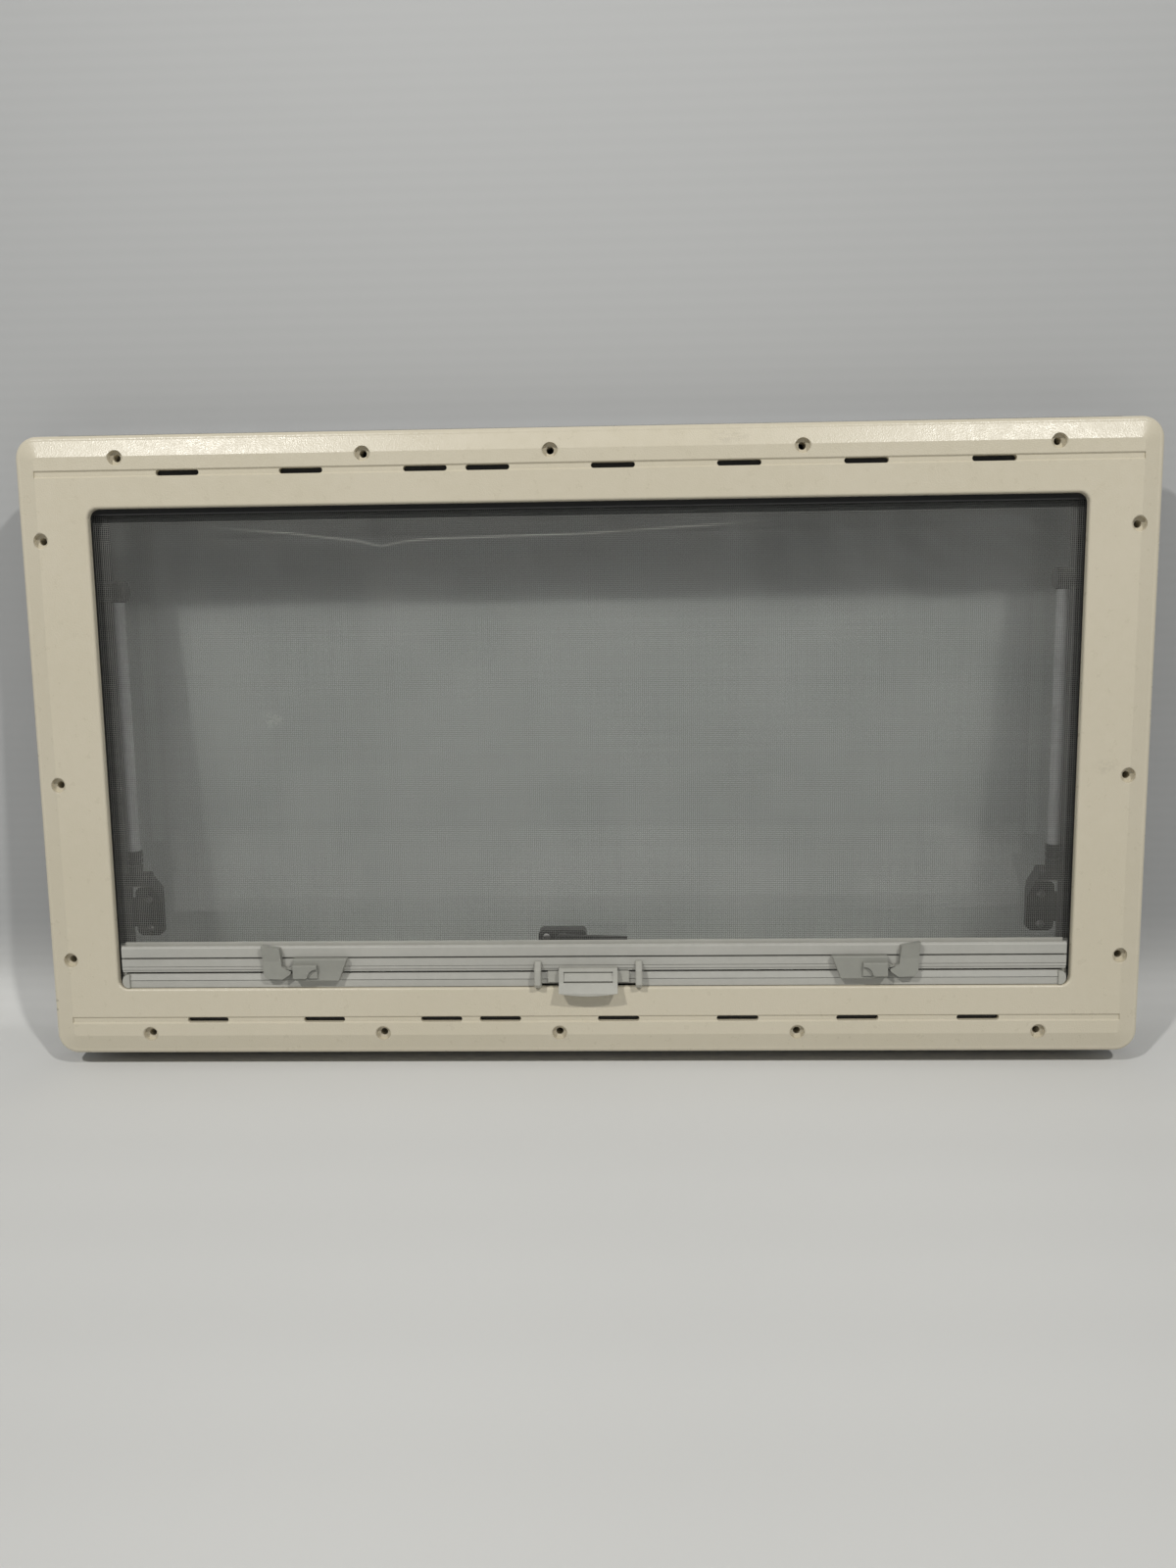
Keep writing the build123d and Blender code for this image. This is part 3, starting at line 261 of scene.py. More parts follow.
class EffectLibrary:
    """Shader node groups, each built once and placed where a finish needs it."""

    CLOUDS_PER_DRIFT = 11.0
    CHIP_SCALE = 420.0
    SPECK_SCALE = 260.0
    BANDS_PER_LINE = 0.12
    WEAVE_DRIFT = 14.0

    def __init__(self) -> None:
        """Start with no group built."""
        self.groups: dict[Effect, bpy.types.NodeTree] = {}

    def place(self, graph: Graph, effect: Effect, inputs: dict) -> bpy.types.Node:
        """Put an effect into a material.

        Args:
            graph: Material's graph.
            effect: Effect to place.
            inputs: Values or sockets by input name.

        Returns:
            The group node.
        """
        if effect not in self.groups:
            self.groups[effect] = self.build(effect)
        node = graph.add("ShaderNodeGroup", node_tree=self.groups[effect])
        for name, value in inputs.items():
            graph.feed(node.inputs[name], value)
        return node

    def build(self, effect: Effect) -> bpy.types.NodeTree:
        """Build the group of one effect.

        Args:
            effect: Effect to build.

        Returns:
            The group's node tree.
        """
        makers = {
            Effect.GRAIN: self.build_grain,
            Effect.EDGES: self.build_edges,
            Effect.DUST: self.build_dust,
            Effect.STREAKS: self.build_streaks,
            Effect.THREADS: self.build_threads,
            Effect.PATCH: self.build_patch,
        }
        return makers[effect](effect.value)

    @staticmethod
    def open_group(name: str, floats: dict[str, float], outputs: dict[str, str]) -> tuple[Graph, bpy.types.Node]:
        """Start a group with a Vector input, number inputs and the outputs asked for.

        Args:
            name: Name of the group.
            floats: Number inputs with their defaults.
            outputs: Output names with their socket types.

        Returns:
            The graph to fill and its input node.
        """
        tree = bpy.data.node_groups.new(name, "ShaderNodeTree")
        tree.interface.new_socket(name="Vector", in_out="INPUT", socket_type="NodeSocketVector")
        for label, default in floats.items():
            socket = tree.interface.new_socket(name=label, in_out="INPUT", socket_type="NodeSocketFloat")
            socket.default_value = default
        for label, kind in outputs.items():
            tree.interface.new_socket(name=label, in_out="OUTPUT", socket_type=kind)
        graph = Graph(tree)
        return graph, graph.add("NodeGroupInput")

    def build_grain(self, name: str) -> bpy.types.NodeTree:
        """Pebbled grain of an injection mould, with slow drifts of tone.

        Args:
            name: Name of the group.

        Returns:
            The group's node tree.
        """
        outputs = {"Height": "NodeSocketFloat", "Tone": "NodeSocketFloat", "Gloss": "NodeSocketFloat"}
        graph, entry = self.open_group(name, {"Density": 1500.0, "Drift": 9.0}, outputs)
        point = entry.outputs["Vector"]
        pebbles = graph.add("ShaderNodeTexVoronoi", {"Vector": point, "Scale": entry.outputs["Density"]},
                            feature="F1")
        fine = graph.add("ShaderNodeTexNoise", {"Vector": point, "Scale": entry.outputs["Density"], "Detail": 1.0})
        height = graph.math("ADD", graph.math("MULTIPLY", pebbles.outputs["Distance"], 0.6),
                            graph.math("MULTIPLY", fine.outputs["Fac"], 0.5))
        drift = graph.add("ShaderNodeTexNoise", {"Vector": point, "Scale": entry.outputs["Drift"], "Detail": 2.0})
        middle = graph.math("MULTIPLY", entry.outputs["Drift"], self.CLOUDS_PER_DRIFT)
        cloud = graph.add("ShaderNodeTexNoise", {"Vector": point, "Scale": middle, "Detail": 3.0, "Roughness": 0.65})
        tone = graph.math("ADD", graph.math("MULTIPLY", drift.outputs["Fac"], 0.6),
                          graph.math("MULTIPLY", cloud.outputs["Fac"], 0.4))
        graph.add("NodeGroupOutput", {
            "Height": height, "Tone": graph.remap(tone, 0.32, 0.68), "Gloss": cloud.outputs["Fac"]})
        return graph.tree

    def build_edges(self, name: str) -> bpy.types.NodeTree:
        """Edges that hands and tools have rubbed, and the softened normal across them.

        Args:
            name: Name of the group.

        Returns:
            The group's node tree.
        """
        outputs = {"Mask": "NodeSocketFloat", "Normal": "NodeSocketVector"}
        graph, entry = self.open_group(name, {"Radius": 0.0006}, outputs)
        soft = graph.add("ShaderNodeBevel", {"Radius": entry.outputs["Radius"]}, samples=2)
        flat = graph.add("ShaderNodeNewGeometry")
        turn = graph.add("ShaderNodeVectorMath", {0: soft.outputs[0], 1: flat.outputs["Normal"]},
                         operation="DOT_PRODUCT")
        edge = graph.remap(turn.outputs["Value"], 0.995, 0.82)
        chips = graph.add("ShaderNodeTexNoise", {
            "Vector": entry.outputs["Vector"], "Scale": self.CHIP_SCALE, "Detail": 2.0})
        worn = graph.remap(chips.outputs["Fac"], 0.42, 0.62)
        graph.add("NodeGroupOutput", {"Mask": graph.math("MULTIPLY", edge, worn), "Normal": soft.outputs[0]})
        return graph.tree

    def build_dust(self, name: str) -> bpy.types.NodeTree:
        """Dust that has settled on faces that look up.

        Args:
            name: Name of the group.

        Returns:
            The group's node tree.
        """
        graph, entry = self.open_group(name, {"Amount": 0.3}, {"Mask": "NodeSocketFloat"})
        normal = graph.add("ShaderNodeNewGeometry").outputs["Normal"]
        up = graph.add("ShaderNodeSeparateXYZ", {0: normal}).outputs["Z"]
        lying = graph.remap(up, 0.2, 1.0)
        specks = graph.add("ShaderNodeTexNoise", {
            "Vector": entry.outputs["Vector"], "Scale": self.SPECK_SCALE, "Detail": 3.0, "Roughness": 0.7})
        patchy = graph.remap(specks.outputs["Fac"], 0.35, 0.75)
        mask = graph.math("MULTIPLY", graph.math("MULTIPLY", lying, patchy), entry.outputs["Amount"], clamp=True)
        graph.add("NodeGroupOutput", {"Mask": mask})
        return graph.tree

    def build_streaks(self, name: str) -> bpy.types.NodeTree:
        """Fine lines along a drawn or brushed profile; the vector comes already squeezed along it.

        Args:
            name: Name of the group.

        Returns:
            The group's node tree.
        """
        outputs = {"Height": "NodeSocketFloat", "Tone": "NodeSocketFloat"}
        graph, entry = self.open_group(name, {"Density": 1800.0}, outputs)
        point = entry.outputs["Vector"]
        lines = graph.add("ShaderNodeTexNoise", {"Vector": point, "Scale": entry.outputs["Density"], "Detail": 1.0})
        broad = graph.math("MULTIPLY", entry.outputs["Density"], self.BANDS_PER_LINE)
        bands = graph.add("ShaderNodeTexNoise", {"Vector": point, "Scale": broad, "Detail": 1.0})
        both = graph.math("ADD", graph.math("MULTIPLY", lines.outputs["Fac"], 0.5),
                          graph.math("MULTIPLY", bands.outputs["Fac"], 0.5))
        graph.add("NodeGroupOutput", {"Height": lines.outputs["Fac"], "Tone": graph.remap(both, 0.35, 0.65)})
        return graph.tree

    def build_threads(self, name: str) -> bpy.types.NodeTree:
        """Plain weave of round threads that cross over and under, in the X-Z plane.

        Args:
            name: Name of the group.

        Returns:
            The group's node tree.
        """
        outputs = {"Cover": "NodeSocketFloat", "Height": "NodeSocketFloat", "Tone": "NodeSocketFloat"}
        graph, entry = self.open_group(name, {"Pitch": 0.0015, "Thread": 0.3}, outputs)
        axes = graph.add("ShaderNodeSeparateXYZ", {0: entry.outputs["Vector"]})
        half = graph.math("MULTIPLY", entry.outputs["Thread"], 0.5)
        covers, crowns, counts = [], [], []
        for axis in ("X", "Z"):
            steps = graph.math("DIVIDE", axes.outputs[axis], entry.outputs["Pitch"])
            count = graph.math("FLOOR", steps)
            place = graph.math("ABSOLUTE", graph.math("SUBTRACT", graph.math("SUBTRACT", steps, count), 0.5))
            wobble = graph.add("ShaderNodeTexWhiteNoise", {"W": count}, noise_dimensions="1D")
            width = graph.math("MULTIPLY", half, graph.math("MULTIPLY_ADD", wobble.outputs["Value"], 0.5, 0.75))
            covers.append(graph.math("LESS_THAN", place, width))
            crowns.append(graph.remap(place, 0.5, 0.0))
            counts.append(count)
        cover = graph.math("MAXIMUM", covers[0], covers[1])
        parity = graph.math("PINGPONG", graph.math("ADD", counts[0], counts[1]), 1.0)
        height = graph.math("MAXIMUM", graph.math("MULTIPLY", crowns[0], covers[0]),
                            graph.math("MULTIPLY", graph.math("MULTIPLY", crowns[1], covers[1]),
                                       graph.math("MULTIPLY_ADD", parity, 0.6, 0.7)))
        drift = graph.add("ShaderNodeTexNoise", {
            "Vector": entry.outputs["Vector"], "Scale": self.WEAVE_DRIFT, "Detail": 1.0})
        graph.add("NodeGroupOutput", {
            "Cover": cover, "Height": height, "Tone": graph.remap(drift.outputs["Fac"], 0.35, 0.65)})
        return graph.tree

    def build_patch(self, name: str) -> bpy.types.NodeTree:
        """One cloudy patch; the vector comes with zero at its middle and one at its rim.

        Args:
            name: Name of the group.

        Returns:
            The group's node tree.
        """
        graph, entry = self.open_group(name, {"Density": 3.0}, {"Mask": "NodeSocketFloat"})
        reach = graph.add("ShaderNodeVectorMath", {0: entry.outputs["Vector"]}, operation="LENGTH")
        spot = graph.remap(reach.outputs["Value"], 1.0, 0.25)
        cloud = graph.add("ShaderNodeTexNoise", {
            "Vector": entry.outputs["Vector"], "Scale": entry.outputs["Density"], "Detail": 2.0, "Roughness": 0.6})
        cloudy = graph.remap(cloud.outputs["Fac"], 0.4, 0.62)
        graph.add("NodeGroupOutput", {"Mask": graph.math("MULTIPLY", spot, cloudy)})
        return graph.tree


EFFECTS = EffectLibrary()


def new_material(name: str) -> tuple[bpy.types.Material, Graph, bpy.types.Node]:
    """Start a material with an empty tree and its output.

    Args:
        name: Name of the material.

    Returns:
        The material, its graph and its output node.
    """
    material = bpy.data.materials.new(name)
    material.use_nodes = True
    material.node_tree.nodes.clear()
    graph = Graph(material.node_tree)
    return material, graph, graph.add("ShaderNodeOutputMaterial")


def patch_mask(graph: Graph, point: Socket, middle: Vector, reach: tuple[float, float]) -> Socket:
    """A cloudy mark at one place of a surface that looks along Y.

    Args:
        graph: Material's graph.
        point: Object coordinates.
        middle: Place of the mark.
        reach: Half its width and half its height.

    Returns:
        The mark's mask.
    """
    size = (reach[0], 1.0, reach[1])
    mapping = graph.add("ShaderNodeMapping", {
        "Vector": point, "Location": tuple(-value / part for value, part in zip(middle, size)),
        "Scale": tuple(1.0 / part for part in size)}, vector_type="POINT")
    return EFFECTS.place(graph, Effect.PATCH, {"Vector": mapping.outputs[0]}).outputs["Mask"]


@dataclass(frozen=True)
class Mark:
    """A smudge, scuff or chip on a surface."""

    middle: tuple[float, float, float]
    reach: tuple[float, float]
    strength: float


@dataclass(frozen=True)
class MouldedPlastic:
    """Injection-moulded plastic with a pebbled grain, dust and marks, and rubbed edges where edge is set."""

    name: str
    tone: Tone
    shade: Tone
    rubbed: Tone = (206, 205, 198)
    roughness: float = 0.45
    density: float = 1500.0
    depth: float = 0.00006
    edge: float = 0.0
    wear: float = 0.35
    dust: float = 0.2
    dust_tone: Tone = (150, 145, 135)
    dust_dulls: float = 0.3
    mark_tone: Tone = (120, 112, 98)
    marks: tuple[Mark, ...] = ()
    gloss_spread: float = 0.04
    ior: float = 1.5

    def make(self) -> bpy.types.Material:
        """Build the material.

        Returns:
            The finished material.
        """
        material, graph, output = new_material(self.name)
        point = graph.object_point()
        grain = EFFECTS.place(graph, Effect.GRAIN, {"Vector": point, "Density": self.density})
        dust = EFFECTS.place(graph, Effect.DUST, {"Vector": point, "Amount": self.dust})
        bump = graph.add("ShaderNodeBump", {"Height": grain.outputs["Height"], "Distance": self.depth})
        colour = graph.blend(grain.outputs["Tone"], linear(self.shade), linear(self.tone))
        if self.edge:
            edges = EFFECTS.place(graph, Effect.EDGES, {"Vector": point, "Radius": self.edge})
            worn = graph.math("MULTIPLY", edges.outputs["Mask"], self.wear)
            colour = graph.blend(worn, colour, linear(self.rubbed))
            graph.feed(bump.inputs["Normal"], edges.outputs["Normal"])
        colour = graph.blend(dust.outputs["Mask"], colour, linear(self.dust_tone))
        for mark in self.marks:
            mask = patch_mask(graph, point, Vector(mark.middle), mark.reach)
            colour = graph.blend(graph.math("MULTIPLY", mask, mark.strength), colour, linear(self.mark_tone))
        gloss = graph.remap(grain.outputs["Gloss"], GLOSS_LOW, GLOSS_HIGH,
                            self.roughness - self.gloss_spread, self.roughness + self.gloss_spread)
        rough = graph.math("MULTIPLY_ADD", dust.outputs["Mask"], self.dust_dulls, gloss, clamp=True)
        shader = graph.add("ShaderNodeBsdfPrincipled", {
            "Base Color": colour, "Roughness": rough, "Normal": bump.outputs[0], "IOR": self.ior})
        graph.feed(output.inputs["Surface"], shader.outputs[0])
        return material


@dataclass(frozen=True)
class DrawnMetal:
    """Drawn or brushed metal with lines along its length and darker tarnish."""

    name: str
    tone: Tone
    shade: Tone
    along: Along
    roughness: float = 0.34
    metallic: float = 1.0
    density: float = 1800.0
    depth: float = 0.00003
    drift: float = 25.0
    dull: float = 0.08
    bright: float = 0.05
    dust: float = 0.15
    dust_tone: Tone = (120, 118, 112)

    def make(self) -> bpy.types.Material:
        """Build the material.

        Returns:
            The finished material.
        """
        material, graph, output = new_material(self.name)
        point = graph.object_point()
        squeezed = graph.add("ShaderNodeMapping", {"Vector": point, "Scale": self.along.value})
        streaks = EFFECTS.place(graph, Effect.STREAKS, {"Vector": squeezed.outputs[0], "Density": self.density})
        grain = EFFECTS.place(graph, Effect.GRAIN, {"Vector": point, "Drift": self.drift})
        dust = EFFECTS.place(graph, Effect.DUST, {"Vector": point, "Amount": self.dust})
        tarnish = graph.math("MULTIPLY", streaks.outputs["Tone"], grain.outputs["Tone"])
        colour = graph.blend(graph.math("SQRT", tarnish), linear(self.shade), linear(self.tone))
        colour = graph.blend(dust.outputs["Mask"], colour, linear(self.dust_tone))
        rough = graph.remap(
            streaks.outputs["Tone"], 0.0, 1.0, self.roughness + self.dull, self.roughness - self.bright)
        bump = graph.add("ShaderNodeBump", {"Height": streaks.outputs["Height"], "Distance": self.depth})
        shader = graph.add("ShaderNodeBsdfPrincipled", {
            "Base Color": colour, "Roughness": rough, "Metallic": self.metallic, "Normal": bump.outputs[0]})
        graph.feed(output.inputs["Surface"], shader.outputs[0])
        return material


@dataclass(frozen=True)
class TintedAcrylic:
    """Smoke-tinted clear sheet with a haze of fine marks; light passes through it with the same tint."""

    name: str
    tint: Tone
    roughness: float = 0.03
    haze: float = 0.03
    wipe_density: float = 600.0
    wipe_angle: float = 12.0
    ior: float = 1.49

    def make(self) -> bpy.types.Material:
        """Build the material.

        Returns:
            The finished material.
        """
        material, graph, output = new_material(self.name)
        point = graph.object_point()
        squeezed = graph.add("ShaderNodeMapping", {
            "Vector": point, "Scale": Along.X.value, "Rotation": (0.0, math.radians(self.wipe_angle), 0.0)})
        wiped = EFFECTS.place(graph, Effect.STREAKS, {"Vector": squeezed.outputs[0], "Density": self.wipe_density})
        rough = graph.remap(wiped.outputs["Tone"], 0.0, 1.0, self.roughness, self.roughness + self.haze)
        sheet = graph.add("ShaderNodeBsdfPrincipled", {
            "Base Color": linear(self.tint), "Roughness": rough, "IOR": self.ior, "Transmission Weight": 1.0})
        passed = graph.add("ShaderNodeBsdfTransparent", {"Color": linear(self.tint)})
        path = graph.add("ShaderNodeLightPath")
        surface = graph.add("ShaderNodeMixShader", {
            0: path.outputs["Is Shadow Ray"], 1: sheet.outputs[0], 2: passed.outputs[0]})
        graph.feed(output.inputs["Surface"], surface.outputs[0])
        return material


@dataclass(frozen=True)
class ExtrudedRubber:
    """Black sealing rubber with a fine grain and a pale bloom."""

    name: str
    tone: Tone
    bloom: Tone
    roughness: float = 0.62
    density: float = 900.0
    drift: float = 30.0
    depth: float = 0.00005
    dust: float = 0.5
    bloom_share: float = 0.35
    gloss_spread: float = 0.1

    def make(self) -> bpy.types.Material:
        """Build the material.

        Returns:
            The finished material.
        """
        material, graph, output = new_material(self.name)
        point = graph.object_point()
        grain = EFFECTS.place(graph, Effect.GRAIN, {
            "Vector": point, "Density": self.density, "Drift": self.drift})
        dust = EFFECTS.place(graph, Effect.DUST, {"Vector": point, "Amount": self.dust})
        bloomed = graph.math("MULTIPLY", grain.outputs["Tone"], self.bloom_share)
        colour = graph.blend(bloomed, linear(self.tone), linear(self.bloom))
        colour = graph.blend(dust.outputs["Mask"], colour, linear(self.bloom))
        rough = graph.remap(grain.outputs["Gloss"], GLOSS_LOW, GLOSS_HIGH,
                            self.roughness - self.gloss_spread, self.roughness + self.gloss_spread)
        bump = graph.add("ShaderNodeBump", {"Height": grain.outputs["Height"], "Distance": self.depth})
        shader = graph.add("ShaderNodeBsdfPrincipled", {
            "Base Color": colour, "Roughness": rough, "Normal": bump.outputs[0]})
        graph.feed(output.inputs["Surface"], shader.outputs[0])
        return material


@dataclass(frozen=True)
class WovenCloth:
    """Plain weave; open between its threads when it is a screen. Its colour holds painted shade: the shade tone
    towards each round thread's edges and on threads that pass under, the tone on the crowns.
    """

    name: str
    tone: Tone
    shade: Tone
    pitch: float
    thread: float
    open_weave: bool
    roughness: float = 0.6
    depth: float = 0.00012
    pale_mark_tone: Tone = (214, 212, 204)
    pale_line_path: tuple[tuple[float, float], ...] = ()
    pale_line_half: float = 0.0016
    pale_line_fade: float = 0.08
    pale_line_strength: float = 0.5
    marks: tuple[Mark, ...] = ()
    tone_low: float = 0.6
    tone_swing: float = 0.4
    gloss_spread: float = 0.08

    def pale_line_mask(self, graph: Graph, point: Socket) -> Socket:
        """A pale line along the given path across the cloth.

        Args:
            graph: Material's graph.
            point: Object coordinates.

        Returns:
            The line's mask.
        """
        across, _, level = graph.add("ShaderNodeSeparateXYZ", {0: point}).outputs
        for (start, low), (end, high) in zip(self.pale_line_path, self.pale_line_path[1:]):
            level = graph.math("SUBTRACT", level, graph.ramp(across, start, end, high - low))
        gap = graph.math("ABSOLUTE", graph.math("SUBTRACT", level, self.pale_line_path[0][1]))
        line = graph.remap(gap, self.pale_line_half, 0.0, 0.0, self.pale_line_strength)
        first, last = self.pale_line_path[0][0], self.pale_line_path[-1][0]
        for end, inward in ((first, self.pale_line_fade), (last, -self.pale_line_fade)):
            line = graph.math("MULTIPLY", line, graph.remap(across, end, end + inward))
        return line

    def make(self) -> bpy.types.Material:
        """Build the material.

        Returns:
            The finished material.
        """
        material, graph, output = new_material(self.name)
        point = graph.object_point()
        threads = EFFECTS.place(graph, Effect.THREADS, {
            "Vector": point, "Pitch": self.pitch, "Thread": self.thread})
        # painted shade: thread crowns take the tone, thread edges and threads passing under take the shade tone
        painted_crown_shade = graph.math("MULTIPLY", threads.outputs["Height"], graph.math(
            "MULTIPLY_ADD", threads.outputs["Tone"], self.tone_swing, self.tone_low))
        colour = graph.blend(painted_crown_shade, linear(self.shade), linear(self.tone))
        # pale line along the given path, then pale marks
        if self.pale_line_path:
            colour = graph.blend(self.pale_line_mask(graph, point), colour, linear(self.pale_mark_tone))
        for mark in self.marks:
            mask = patch_mask(graph, point, Vector(mark.middle), mark.reach)
            colour = graph.blend(graph.math("MULTIPLY", mask, mark.strength), colour, linear(self.pale_mark_tone))
        rough = graph.remap(threads.outputs["Tone"], 0.0, 1.0,
                            self.roughness - self.gloss_spread, self.roughness + self.gloss_spread)
        shader = graph.add("ShaderNodeBsdfPrincipled", {"Base Color": colour, "Roughness": rough})
        if self.open_weave:
            graph.feed(shader.inputs["Alpha"], threads.outputs["Cover"])
        else:
            bump = graph.add("ShaderNodeBump", {"Height": threads.outputs["Height"], "Distance": self.depth})
            graph.feed(shader.inputs["Normal"], bump.outputs[0])
        graph.feed(output.inputs["Surface"], shader.outputs[0])
        return material


FINISHES: dict[Slot, Any] = {
    Slot.CREAM: MouldedPlastic(
        "cream_grained_moulding", tone=(206, 198, 178), shade=(203, 195, 174), rubbed=(226, 221, 206),
        roughness=0.31, density=900.0, depth=0.00014, edge=0.0003, wear=0.3, dust=0.06, dust_tone=(188, 180, 162),
        marks=(Mark((0.118, -0.05, 0.497), (0.022, 0.008), 0.14), Mark((0.421, -0.052, 0.232), (0.012, 0.009), 0.14),
               Mark((-0.4562, -0.047, 0.039), (0.0024, 0.0018), 1.0),
               Mark((-0.4567, -0.047, 0.031), (0.0024, 0.0018), 1.0))),
    Slot.DARK: MouldedPlastic(
        "black_moulding", tone=(30, 30, 30), shade=(22, 22, 23), roughness=0.48, dust=0.3),
    Slot.ACRYLIC: TintedAcrylic("smoke_acrylic", tint=(246, 247, 246)),
    Slot.SEAL: ExtrudedRubber("seal_rubber", tone=(28, 28, 28), bloom=(70, 69, 66)),
    Slot.HINGE: DrawnMetal("drawn_aluminium", tone=(196, 197, 198), shade=(146, 147, 149), along=Along.X),
    Slot.CASSETTE: MouldedPlastic(
        "dark_cassette_plastic", tone=(24, 24, 23), shade=(18, 18, 18), roughness=0.5, dust=0.3),
    # tone and shade of the cloths: lit thread crowns and painted shade at thread edges
    Slot.ROLLER: WovenCloth(
        "coated_blind_cloth", tone=(176, 174, 166), shade=(132, 130, 124), pitch=0.0008, thread=0.9, open_weave=False),
    Slot.MESH: WovenCloth(
        "glassfibre_screen", tone=(130, 130, 126), shade=(88, 88, 85), pitch=0.0016, thread=0.18, open_weave=True,
        # path of the pale line, as across and height pairs
        pale_line_path=((-0.321, 0.4362), (-0.243, 0.4295), (-0.184, 0.4222), (-0.165, 0.4175), (-0.146, 0.4211),
                (-0.124, 0.4228), (0.001, 0.4253), (0.081, 0.4292), (0.160, 0.4339)),
        marks=(Mark((-0.2607, 0.0, 0.2767), (0.013, 0.01), 0.4),)),
    Slot.RAIL: MouldedPlastic(
        "coated_rail", tone=(179, 178, 171), shade=(171, 170, 163), rubbed=(208, 207, 201), roughness=0.38,
        density=2200.0, depth=0.00003, edge=0.0003, wear=0.5, dust=0.3),
    Slot.FITTING: MouldedPlastic(
        "grey_fitting_plastic", tone=(176, 175, 166), shade=(167, 166, 158), roughness=0.4,
        density=1800.0, depth=0.00004, edge=0.0003, wear=0.4, dust=0.25),
    Slot.SLIDER: MouldedPlastic(
        "slider_plastic", tone=(176, 175, 167), shade=(166, 165, 158), roughness=0.42,
        density=1800.0, depth=0.00004, edge=0.0003, dust=0.25),
    # painted shade: the grey fitting plastic, made darker for the shade these pieces sit in
    Slot.CATCH: MouldedPlastic(
        "catch_plastic_painted_shade", tone=(150, 150, 142), shade=(140, 140, 133), rubbed=(184, 183, 176), roughness=0.4,
        density=1800.0, depth=0.00004, edge=0.0003, wear=0.4),
    Slot.STAY_TUBE: DrawnMetal(
        "stay_aluminium", tone=(206, 207, 207), shade=(172, 173, 174), along=Along.Z, roughness=0.42, metallic=0.15),
    Slot.STAY_STEEL: DrawnMetal(
        "plated_steel", tone=(190, 188, 184), shade=(140, 139, 137), along=Along.Z, roughness=0.3),
    Slot.STAY_PLASTIC: MouldedPlastic(
        "stay_plastic", tone=(26, 27, 28), shade=(20, 20, 21), roughness=0.44),
}


class Wardrobe:
    """Materials by slot, each made once."""

    def __init__(self) -> None:
        """Start with no material made."""
        self.made: dict[Slot, bpy.types.Material] = {}

    def of(self, slot: Slot) -> bpy.types.Material:
        """The material of a slot.

        Args:
            slot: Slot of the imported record.

        Returns:
            Its material.
        """
        if slot not in self.made:
            self.made[slot] = FINISHES[slot].make()
        return self.made[slot]


WARDROBE = Wardrobe()


def dress(piece: bpy.types.Object, slot: Slot) -> None:
    """Give a piece the material of one slot."""
    piece.data.materials.clear()
    piece.data.materials.append(WARDROBE.of(slot))


def begin_piece() -> None:
    """Leave edit mode and deselect everything before a new primitive."""
    if bpy.context.mode != "OBJECT":
        bpy.ops.object.mode_set(mode="OBJECT")
    bpy.ops.object.select_all(action="DESELECT")


def settle(name: str) -> bpy.types.Object:
    """Name the active object and put its place into its mesh.

    Args:
        name: Name of the piece.

    Returns:
        The piece, at the origin, unturned and unscaled.
    """
    if bpy.context.mode != "OBJECT":
        bpy.ops.object.mode_set(mode="OBJECT")
    piece = bpy.context.object
    piece.name = name
    piece.data.name = name
    bpy.ops.object.transform_apply(location=True, rotation=True, scale=True)
    return piece


def apply_modifiers(piece: bpy.types.Object) -> None:
    """Apply every modifier of the active piece."""
    bpy.context.view_layer.objects.active = piece
    for modifier in list(piece.modifiers):
        bpy.ops.object.modifier_apply(modifier=modifier.name)


def select_faces(piece: bpy.types.Object, chosen: Any) -> None:
    """Select faces in edit mode by a test on their centre and normal.

    Args:
        piece: Active mesh object.
        chosen: Test that takes a face's centre and normal.
    """
    bpy.ops.object.mode_set(mode="EDIT")
    bpy.ops.mesh.select_mode(type="FACE")
    bpy.ops.mesh.select_all(action="DESELECT")
    bpy.ops.object.mode_set(mode="OBJECT")
    for face in piece.data.polygons:
        face.select = bool(chosen(face.center, face.normal))
    bpy.ops.object.mode_set(mode="EDIT")


@dataclass
class PackedSolids:
    """The CAD nodes, which keep their shapes and get their finishes."""

    frame: dict

    def dress(self) -> None:
        """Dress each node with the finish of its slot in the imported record."""
        slots = {entry["node"]: entry["material_slot"] for entry in self.frame["record"]["subparts"]}
        for name, node in self.frame["nodes"].items():
            dress(node, Slot(slots[name]))
            LOG.info("dressed %s as %s", name, slots[name])


